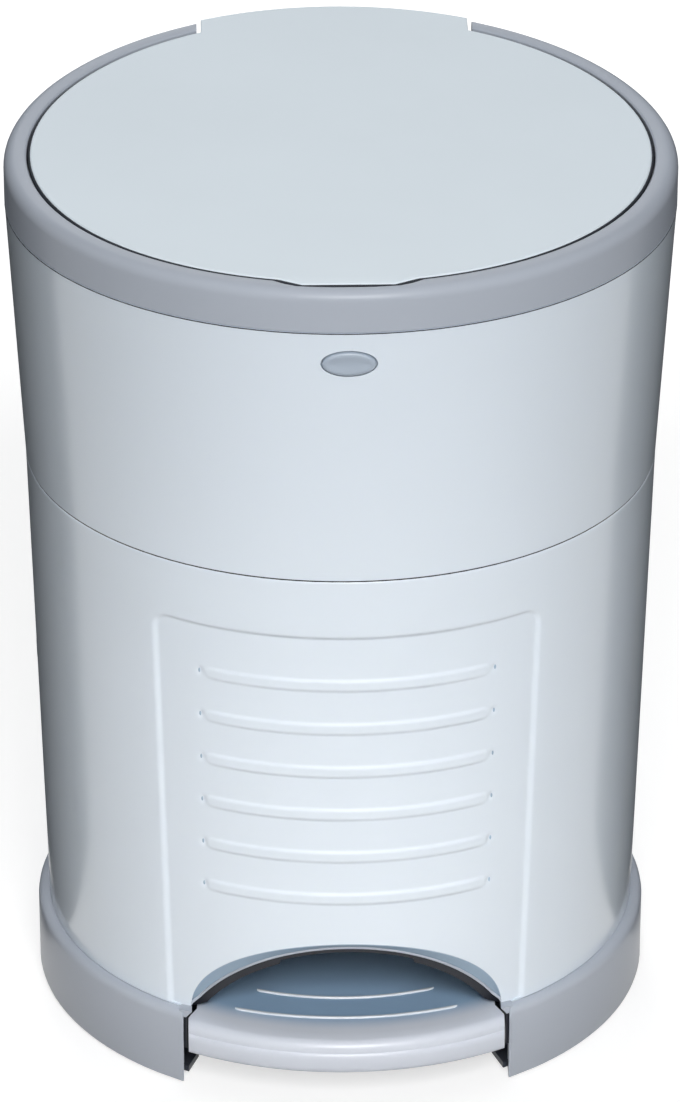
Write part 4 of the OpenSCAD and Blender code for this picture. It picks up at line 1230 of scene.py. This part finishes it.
@dataclass
class Hood:
    """Dark hood over the foot niche, with its front lip between the trim and the tread."""

    palette: Palette
    outer: float = 84.2
    middle_inner: float = 80.3
    side_inner: float = 78.6
    shoulder: float = 31.0
    shoulder_soft: float = 0.6
    front: float = 136.1
    leg_outer: float = 76.9
    leg_inner: float = 75.3
    leg_low: float = 19.6
    leg_tall: float = 16.3
    leg_front: float = 1.5
    leg_back_r: float = 131.5
    leg_front_r: float = 146.2
    back: float = -56.8
    back_thick: float = 2.0
    back_side: tuple[float, float] = (66.0, 45.0)
    back_edge: float = 0.4
    back_edge_top: float = 36.0
    back_lap: float = 0.1
    back_widen: float = 1.01
    slot_half: float = 13.5
    slot_top: float = 27.0
    sill: float = 6.2

    def build(self) -> None:
        """Builds the arched hood with its legs, and the back wall with the lever's way."""
        part = Moulding("pedal_niche_hood")
        feet = self._feet()
        part.loft([*reversed(feet), *self._arch(),
                   *[[(-x, y, z) for x, y, z in row] for row in feet]], caps=True)
        legs = ((self.leg_inner, self.leg_back_r), (self.leg_outer, self.leg_back_r),
                (self.leg_outer, self.leg_front_r), (self.leg_inner, self.leg_front_r))
        for side in (-1, 1):
            part.prism([(side * x, front_y(r, x), self.leg_low) for x, r in legs],
                       (0.0, 0.0, self.leg_tall))
        self._back(part)
        part.make(self.palette.material("hood_plastic"), "hood_plastic", "base", "pedal_hood")

    def _arch(self) -> list[list[Point]]:
        """Places the sections of the arch.

        Returns:
            The sections, from the +X side to the -X side.
        """
        turns = [ARCH_START + ARCH_SWEEP * i / 56 for i in range(57)]
        for edge in (self.shoulder - self.shoulder_soft, self.shoulder + self.shoulder_soft):
            turn = math.degrees(math.acos(edge / self.side_inner))
            turns += [turn, 180.0 - turn]
        rows = []
        for turn in sorted(turns):
            c, s = math.cos(math.radians(turn)), math.sin(math.radians(turn))
            middle = abs(self.side_inner * c) < self.shoulder
            inner = self.middle_inner if middle else self.side_inner
            rows.append(self._station(self.outer * c, ARCH_Z + self.outer * s,
                                      inner * c, ARCH_Z + inner * s, self.front))
        return rows

    def _feet(self) -> list[list[Point]]:
        """Places the sections that carry the lip from the arch into its +X leg.

        Returns:
            The sections, from the top down.
        """
        wall, low = self.front + self.leg_front, self.leg_low
        return [self._station(*foot) for foot in (
            (73.4, 40.4, 70.9, 37.8, self.front), (75.9, 37.6, 74.0, 36.5, self.front),
            (self.leg_outer, 34.5, self.leg_inner, 33.6, wall),
            (self.leg_outer, low, self.leg_inner, low, wall))]

    def _station(self, out_x: float, out_z: float, in_x: float, in_z: float,
                 wall: float) -> list[Point]:
        """Places one section of the hood.

        Args:
            out_x: Place across, of the outer edge.
            out_z: Height of the outer edge.
            in_x: Place across, of the inner edge.
            in_z: Height of the inner edge.
            wall: Distance of its front from the bin's axis at the ring's top.

        Returns:
            Back and front of the outer edge, then front and back of the inner one.
        """
        outer_y, inner_y = (front_y(wall + FLARE * (z - RING_TOP), x)
                            for x, z in ((out_x, out_z), (in_x, in_z)))
        return [(out_x, self.back, out_z), (out_x, outer_y, out_z),
                (in_x, inner_y, in_z), (in_x, self.back, in_z)]

    def _back(self, part: Moulding) -> None:
        """Adds the back wall in three parts that leave the lever's way open.

        Args:
            part: The moulding to add to.
        """
        y, edge = self.back - self.back_thick, self.leg_inner + self.back_edge
        side_x, side_z = self.back_side
        lap_z = side_z - self.back_lap
        half_wall = ((self.slot_half, self.sill), (edge, self.sill), (edge, self.back_edge_top),
                     (side_x, side_z), (self.slot_half, side_z))
        for side in (-1, 1):
            part.prism([(side * x, y, z) for x, z in half_wall], (0.0, self.back_thick, 0.0))
        arc = [(x * self.back_widen, ARCH_Z + z) for x, z in
               oval(0.0, 0.0, self.middle_inner, self.middle_inner, range(36, 145, 3))]
        part.prism([(x, y, z) for x, z in
                    [(self.slot_half, self.slot_top), (side_x, lap_z), *arc, (-side_x, lap_z),
                     (-self.slot_half, self.slot_top)]], (0.0, self.back_thick, 0.0))


# --------------------------------------------------------------------- pedal


@dataclass
class Pedal:
    """Pedal tread with its rolled front edge, side walls and two bars, made pale as a painted
    highlight.
    """

    palette: Palette
    half: float = 74.6
    waist: float = 70.5
    waist_r: float = 136.7
    widen: float = 8.0
    front_r: float = 150.0
    top: float = 37.0
    low: float = 19.5
    back: float = -62.2
    thick: float = 3.0
    fall: float = 1.3
    fall_r: float = 127.0
    fall_end: float = 3.0
    side_thick: float = 2.5
    side_front: float = 5.6
    side_lap: float = 0.2
    side_low: float = 0.4
    side_soft: float = 0.6
    slant_drop: float = 1.6
    bars: Sequence[tuple[float, float, float]] = ((128.2, 150.0, 52.5), (110.2, 114.0, 42.0))
    bar_fade: float = 1.2
    bar_end: float = 0.08

    def build(self) -> None:
        """Builds the tread with its front, and the bars on it."""
        part = Moulding("pedal_tread_shell")
        self._skin(part, self.waist_r, self.half, None)
        self._skin(part, None, self.waist, self.waist_r + 0.1)
        self._sides(part)
        part.make(self.palette.material("pedal_plastic"), "pedal_plastic", "pedal", "pedal_tread")
        # The bars' pale colour is a painted highlight.
        bars = Moulding("pedal_grip_bars_painted_highlight")
        for middle, bend, half in self.bars:
            self._bar(bars, middle, bend, half)
        bars.make(self.palette.material("pedal_bar_painted_highlight"), "pedal_plastic", "pedal")

    def _level(self, r: float) -> float:
        """Height of the tread at a distance from the bin's axis, as it falls to its front."""
        run = self.front_r - self.fall_r - self.fall_end
        return self.top - self.fall * ease((r - self.fall_r) / run)

    def _front(self) -> list[tuple[float, float]]:
        """Shapes the rolled front, from the tread down to the lower edge.

        Returns:
            Radius and height of each corner.
        """
        r, top, low = self.front_r, self.top - self.fall, self.low
        fall = [(r0, self._level(r0)) for r0 in (self.waist_r, 138.4, 140.2, 142.0)]
        roll = [(r - 7.0 + 5.8 * math.sin(math.radians(a)),
                 top - 5.0 + 4.9 * math.cos(math.radians(a))) for a in range(4, 80, 8)]
        return fall + roll + [(r - 1.2, top - 5.0), (r - 1.15, top - 5.9), (r - 0.55, top - 6.4),
                              (r - 0.1, top - 7.4), (r, top - 9.0), (r - 0.1, low + 2.5),
                              (r - 0.5, low + 0.9), (r - 1.3, low + 0.1)]

    def _skin(self, part: Moulding, start: float | None, half: float, stop: float | None) -> None:
        """Adds one part of the tread.

        Args:
            part: The moulding to add to.
            start: Radius where it begins, or None for the straight back edge.
            half: Its half width.
            stop: Radius where it ends, or None for the rolled front.
        """
        xs = [half * i / 24 for i in range(-24, 25)]
        bottom = self.top - self.thick
        if stop is None:
            front = self._front()
            under = [self._row(r, z, xs) for r, z in (
                (self.front_r - 3.2, self.low + 0.1), (self.front_r - 3.4, self.top - 9.0),
                (self.front_r - 8.0, bottom - 1.2))]
        else:
            front = [(r, self._level(r)) for r in (127.0, 129.0, 131.0, 133.0, 135.0, stop)]
            under = [[(x, front_y(stop, x), bottom) for x in xs]]
        upper = [self._row(r, z, xs) for r, z in front]
        if start is None:
            first = front[0][0]
            upper = [[(x, self.back + (front_y(first, x) - self.back) * share, self.top)
                      for x in xs] for share in (0.0, 0.3, 0.6, 0.9)] + upper
            under.append([(x, self.back, bottom) for x in xs])
        else:
            under.append(self._row(start, bottom, xs))
        numbers = part.loft(upper + under, wrap=False, closed=True)
        part.faces.append(tuple(row[0] for row in numbers))
        part.faces.append(tuple(row[-1] for row in reversed(numbers)))

    def _row(self, r: float, z: float, xs: list[float]) -> list[Point]:
        """Places points across the tread, drawn in to the waist towards the back.

        Args:
            r: Their distance from the bin's axis.
            z: Their height.
            xs: Where they stand across the tread at its full width.

        Returns:
            The points.
        """
        share = max(0.0, min(1.0, (r - self.waist_r) / self.widen))
        width = self.waist + (self.half - self.waist) * share
        narrow = min(1.0, width / xs[-1])
        return [(x, front_y(r, x), z) for x in (narrow * x for x in xs)]

    def _sides(self, part: Moulding) -> None:
        """Adds the upright sides, which draw in to the waist that passes the hood.

        Args:
            part: The moulding to add to.
        """
        near = front_y(self.front_r - self.side_front, self.half)
        far = front_y(self.waist_r + self.side_lap, self.waist)
        low, top = self.low + self.side_low, self.top - self.fall
        full, waist, thick, soft = self.half, self.waist, self.side_thick, self.side_soft
        slant = ((full, near), (waist, far), (waist - thick, far), (full - thick, near))
        wall = ((waist - thick, low), (waist, low), (waist, top - soft), (waist - soft, top),
                (waist - thick, top))
        for side in (-1, 1):
            part.prism([(side * x, y, low) for x, y in slant],
                       (0.0, 0.0, top - self.slant_drop - self.low))
            part.prism([(side * x, far, z) for x, z in wall], (0.0, self.back - far, 0.0))

    def _bar(self, part: Moulding, middle: float, bend: float, half: float) -> None:
        """Adds one low rounded bar along the tread.

        Args:
            part: The moulding to add to.
            middle: How far in front of the bin's axis its middle lies.
            bend: Radius of its curve.
            half: Its half width.
        """
        shape = [(1.0, -0.3), (0.92, 0.25), (0.55, 0.7), (0.0, 0.85), (-0.55, 0.7), (-0.92, 0.25),
                 (-1.0, -0.3)]
        end = math.degrees(math.asin(half / bend))
        rows = []
        for i in range(41):
            angle = end * math.sin(math.radians(-90.0 + 4.5 * i))
            fade = (end - abs(angle)) * self.bar_fade + self.bar_end
            fade = max(self.bar_end, min(1.0, fade))
            row = []
            for dr, dz in shape:
                x, y, _ = polar(bend + dr * fade, angle, 0.0)
                y += bend - middle
                row.append((x, y, self._level(math.hypot(x, y)) + max(dz, dz * fade)))
            rows.append(row)
        part.loft(rows, caps=True)


# ------------------------------------------------------------- upper section


def top_height(y: float) -> float:
    """Finds the height of the lid and rim, which rise to the back along one long arc.

    Args:
        y: Place from front to back.

    Returns:
        The height.
    """
    low, start, span, rise = 424.0, -142.0, 296.5, 12.0
    radius = (span * span + rise * rise) / (2.0 * rise)
    return low + radius - math.sqrt(radius * radius - (y - start) ** 2)


def line_r(turn: float, x0: float, y0: float, x1: float, y1: float) -> float:
    """Radius at an angle in radians from the front, on the line from (x0, y0) to (x1, y1)."""
    dx, dy = x1 - x0, y1 - y0
    return (x0 * dy - y0 * dx) / (math.sin(turn) * dy - math.cos(turn) * dx)


@dataclass
class Rim:
    """Grey rim round the lid, notched for the tab and open behind for the flap."""

    palette: Palette
    outer: float = 155.5
    hole: float = 144.9
    band_inner: float = 152.7
    low: float = 404.0
    sill: float = 412.0
    gap_half: float = 66.2
    tab_half: float = 33.4
    tab_flat: float = 19.4
    tab_y: float = 147.6
    tab_root: float = 141.0
    step: float = 2.2
    roll_wide: float = 5.2
    roll_deep: float = 5.6
    ledge_wide: float = 2.3
    sill_soft: float = 0.8
    notch_run: float = 1.6
    shadow_line_deep: float = 0.6

    def build(self) -> None:
        """Builds the rim, the low sill under the flap, and a dark band under the rim, painted
        shadow where the rim meets the body.
        """
        part = Moulding("rim_band")
        end = 180.0 - math.degrees(math.asin(self.gap_half / self.outer))
        part.loft([self._end(end, -1), *[[polar(r, turn, z) for r, z in self._profile(turn)]
                                         for turn in self._angles(end)],
                   self._end(end, 1)], caps=True)
        out, low, sill, soft = self.outer, self.low, self.sill, self.sill_soft
        part.band([(self.band_inner, low), (out, low), (out, sill - soft), (out - soft, sill),
                   (self.band_inner, sill)], end, 360.0 - end)
        part.make(self.palette.material("grey_plastic"), "grey_plastic", "upper", "rim")
        # Dark band just under the rim's lower edge: painted shadow, standing slightly proud of the
        # body.
        line = Moulding("rim_painted_shadow_line")
        line.band([(out - self.shadow_line_deep, low - 0.55), (out, low - 0.5), (out, low - 0.02),
                   (out - self.shadow_line_deep, low)], 0.0, 360.0)
        line.make(self.palette.material("gasket_rubber"), "gasket_rubber", "upper")

    def _angles(self, end: float) -> list[float]:
        """Places the sections round the front.

        Args:
            end: Angle at which the rear gap begins, in degrees from the front.

        Returns:
            The sections' angles, from the -X side to the +X side.
        """
        edges = [math.degrees(math.atan2(x, y)) for x, y in
                 ((self.tab_flat, self.tab_y), (self.tab_half, self.tab_root),
                  (self.tab_half + 0.05, self.tab_root))]
        even = [self.step * i for i in range(1, 70) if self.step * i < end - 4.0]
        half = sorted([0.0, *edges, *even])
        return [*[-a for a in reversed(half[1:])], *half]

    def _notch(self, angle: float) -> float:
        """Finds the radius of the rim's inner edge.

        Args:
            angle: Degrees from the front.

        Returns:
            The radius there.
        """
        turn = math.radians(abs(angle))
        if turn > math.atan2(self.tab_half, self.tab_root) + 0.00001:
            return self.hole
        if turn <= math.atan2(self.tab_flat, self.tab_y):
            return self.tab_y / math.cos(turn)
        return line_r(turn, self.tab_flat, self.tab_y, self.tab_half, self.tab_root)

    def _profile(self, angle: float) -> list[tuple[float, float]]:
        """Shapes the rim's section.

        Args:
            angle: Degrees from the front.

        Returns:
            Radius and height of each corner, as a closed outline.
        """
        t = top_height(-self.outer * math.cos(math.radians(angle)))
        out, low, hole, ledge = self.outer, self.low, self.hole, self.hole + self.ledge_wide
        inner = self._notch(angle)
        notched = ease((inner - hole) / self.notch_run)
        scoop, dip = 1.1 + 1.3 * notched, 0.7 * notched
        roll = oval(out - self.roll_wide, t - self.roll_deep, self.roll_wide, self.roll_deep,
                    range(0, 91, 10))
        return [(self.band_inner, low), (out - 0.5, low), (out, low + 0.6), *roll,
                (inner + scoop, t - 0.05), (inner + 0.4 * scoop, t - 0.35 - 0.5 * dip),
                (inner, t - 0.9 - dip), (inner, t - 3.4), (hole, t - 3.5), (hole, t - 9.0),
                (ledge, t - 9.0), (ledge, t - 4.6), (self.band_inner, t - 6.0)]

    def _end(self, angle: float, side: int) -> list[Point]:
        """Section that ends the rim on one side, in the plane of the rear gap's side."""
        return [(side * self.gap_half, -front_y(r, self.gap_half), z)
                for r, z in self._profile(angle)]


@dataclass
class LidPanel:
    """Lid with its front tab, its rear flap and skirt, and its hinge knuckles."""

    palette: Palette
    radius: float = 143.3
    thick: float = 2.6
    flap_half: float = 64.2
    flap_r: float = 155.3
    tab_half: float = 31.2
    tab_tip: float = 20.5
    tab_root: float = 139.8
    tab_y: float = 145.0
    tab_slope: float = 0.09
    crease: float = 139.4
    crease_soft: float = 0.4
    hinge_y: float = 146.0
    hinge_z: float = 422.0
    knuckle_r: float = 5.0
    knuckle_x: float = 21.5
    knuckle_wide: float = 8.0
    skirt_share: float = 0.998
    skirt_under: float = 1.6
    seal_stop: float = 0.6
    slope_past: float = 1.5
    slope_fade: float = 3.0

    def build(self) -> None:
        """Builds the lid as one moulding, and the dark seal round its edge, partly a gasket and
        partly painted shade in the gap to the rim.
        """
        part = Moulding("lid_top_panel")
        self._plate(part)
        self._skirt(part)
        ring = oval(self.hinge_y, self.hinge_z, self.knuckle_r, self.knuckle_r, range(0, 360, 15))
        web = ((141.0, 423.0), (150.0, 423.0), (150.0, 432.6), (141.0, 432.0))
        for side in (-1, 1):
            for outline in (ring, web):
                part.prism([(side * self.knuckle_x, y, z) for y, z in outline],
                           (side * self.knuckle_wide, 0.0, 0.0))
        part.make(self.palette.material("lid_plastic"), "lid_plastic", "lid", "lid_panel")
        # Dark seal round the lid's edge: a gasket, and painted shade in the gap to the rim.
        seal = Moulding("lid_edge_seal_and_gap_shade")
        last = math.degrees(self._notch()) - self.seal_stop
        half = [a for a in self._angles() if a < last] + [last]
        section = ((-0.6, 0.62), (0.45, 0.66), (0.85, 0.95), (0.9, 2.3), (-0.6, 2.5))
        seal.loft([[self._at(t, self._reach(t) + grow, sunk) for grow, sunk in section]
                   for t in [-a for a in reversed(half[1:])] + half], caps=True)
        seal.make(self.palette.material("gasket_rubber"), "gasket_rubber", "lid")

    def _reach(self, angle: float) -> float:
        """Finds how far the lid's outline lies from the middle.

        Args:
            angle: Degrees from the front.

        Returns:
            The distance at that angle.
        """
        turn = math.radians(abs(angle))
        if abs(angle) > 90.0:
            if turn >= self._flap_corner():
                return self.flap_r
            if turn > self._notch():
                return min(self.flap_half / math.sin(turn), self.flap_r)
            return self.radius
        if turn <= math.atan2(self.tab_tip, self.tab_y):
            return self.tab_y / math.cos(turn)
        if turn <= math.atan2(self.tab_half, self.tab_root):
            return line_r(turn, self.tab_tip, self.tab_y, self.tab_half, self.tab_root)
        return self.radius

    def _notch(self) -> float:
        """Angle, in radians, where the flap's side leaves the round outline."""
        return math.pi - math.asin(self.flap_half / self.radius)

    def _flap_corner(self) -> float:
        """Angle, in radians, of the corner between the flap's side and its rear edge."""
        return math.atan2(self.flap_half, front_y(self.flap_r, self.flap_half))

    def _angles(self) -> list[float]:
        """Places the points of the outline on the +X side.

        Returns:
            Their angles in degrees, from the front to the back.
        """
        root = math.atan2(self.tab_half, self.tab_root)
        marks = [math.degrees(a) for a in (
            math.atan2(self.tab_tip, self.tab_y), root, root + 0.002, self._notch(),
            self._flap_corner())]
        marks += [2.0 * i for i in range(91)] + [2.0 * i + 1.0 for i in range(8)]
        return sorted(set(round(a, 4) for a in marks))

    def _height(self, x: float, y: float) -> float:
        """Finds the height of the lid's top, with the fall of the tab before its crease.

        Args:
            x: Place across.
            y: Place from front to back.

        Returns:
            The height.
        """
        fall = max(0.0, -y - self.crease)
        share = ease((self.tab_half + self.slope_past - abs(x)) / self.slope_fade)
        return top_height(y) - self.tab_slope * max(0.0, fall - self.crease_soft) * share

    def _at(self, angle: float, r: float, sunk: float) -> Point:
        """Point of the lid at an angle and a distance, a depth below its top."""
        x, y, _ = polar(r, angle, 0.0)
        return x, y, self._height(x, y) - sunk

    def _plate(self, part: Moulding) -> None:
        """Adds the top, its rounded edge and its underside.

        Args:
            part: The moulding to add to.
        """
        half = self._angles()
        turns = [-a for a in reversed(half[1:-1])] + half
        rows = []
        for share in (0.02, 0.15, 0.3, 0.45, 0.6, 0.72, 0.82, 0.88, 0.92, 0.945, 0.96, 0.97,
                      0.98, 0.99):
            rows.append([self._at(t, share * self._reach(t), 0.0) for t in turns])
        for inset, sunk in ((1.1, 0.0), (0.55, 0.1), (0.18, 0.38), (0.0, 0.9), (0.0, 2.2),
                            (0.4, self.thick)):
            rows.append([self._at(t, self._reach(t) - inset, sunk) for t in turns])
        rows.append([self._at(t, 0.5 * self._reach(t), self.thick) for t in turns])
        rows.append([self._at(t, 2.0, self.thick) for t in turns])
        part.loft(rows, caps=True)

    def _skirt(self, part: Moulding) -> None:
        """Adds the skirt behind the hinge, rounded below about the pin.

        Args:
            part: The moulding to add to.
        """
        out, inner, hinge = self.flap_r, self.flap_r - self.thick, self.hinge_z
        below = ((out, 0.0), (out - 0.35, 2.4), (out - 1.2, 4.6), (inner, 6.3))
        rows = []
        for i in range(31):
            x = (-self.flap_half + 2.0 * self.flap_half * i / 30) * self.skirt_share
            y_out, y_in = -front_y(out, x), -front_y(inner, x)
            rows.append([(x, y_out, top_height(y_out) - self.skirt_under),
                         *[(x, -front_y(r, x), hinge - drop) for r, drop in below],
                         (x, y_in, top_height(y_in) - self.skirt_under)])
        part.loft(rows, caps=True)


@dataclass
class ReleaseButton:
    """Oval push button of the upper section, softly rounded with a shallow dish."""

    palette: Palette
    half_width: float = 12.0
    half_height: float = 5.75
    centre: float = 389.0
    back: float = 147.9

    def build(self) -> None:
        """Builds the button and its inner flange."""
        part = Moulding("release_button_cap")
        rings = ((4.0, 0.0), (4.0, 3.4), (0.0, 3.4), (0.0, 6.6), (-0.15, 7.1), (-0.5, 7.5),
                 (-1.1, 7.75), (-1.8, 7.8), (-2.6, 7.7), (-4.0, 7.35), (-5.2, 7.25))
        rows = [[(x, -(self.back + out), z) for x, z in
                 oval(0.0, self.centre, self.half_width + grow, self.half_height + grow,
                      range(0, 360, 6))] for grow, out in rings]
        part.loft(rows, caps=True)
        part.make(self.palette.material("button_plastic"), "button_plastic", "button", "button_cap")


# ---------------------------------------------------------------- CAD pieces


@dataclass
class CarriedParts:
    """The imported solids, each in its slot's finish."""

    palette: Palette

    def dress(self) -> None:
        """Gives every shown solid its finish."""
        slots = {row["node"]: row["material_slot"] for row in frame["record"]["subparts"]}
        for name, node in frame["nodes"].items():
            node.data.materials.clear()
            node.data.materials.append(self.palette.material(slots[name]))
            LOG.info("solid %s in %s", name, slots[name])


def main() -> None:
    """Builds the studio and dresses the bin."""
    logging.basicConfig(level=logging.INFO, format="%(message)s")
    bpy.context.scene.view_settings.view_transform = "Standard"
    palette = Palette()
    Studio().build()
    for assembly in (LowerShell, BaseRing, Hood, Pedal, Rim, LidPanel, ReleaseButton):
        assembly(palette).build()
    CarriedParts(palette).dress()


if __name__ == "__main__":
    main()
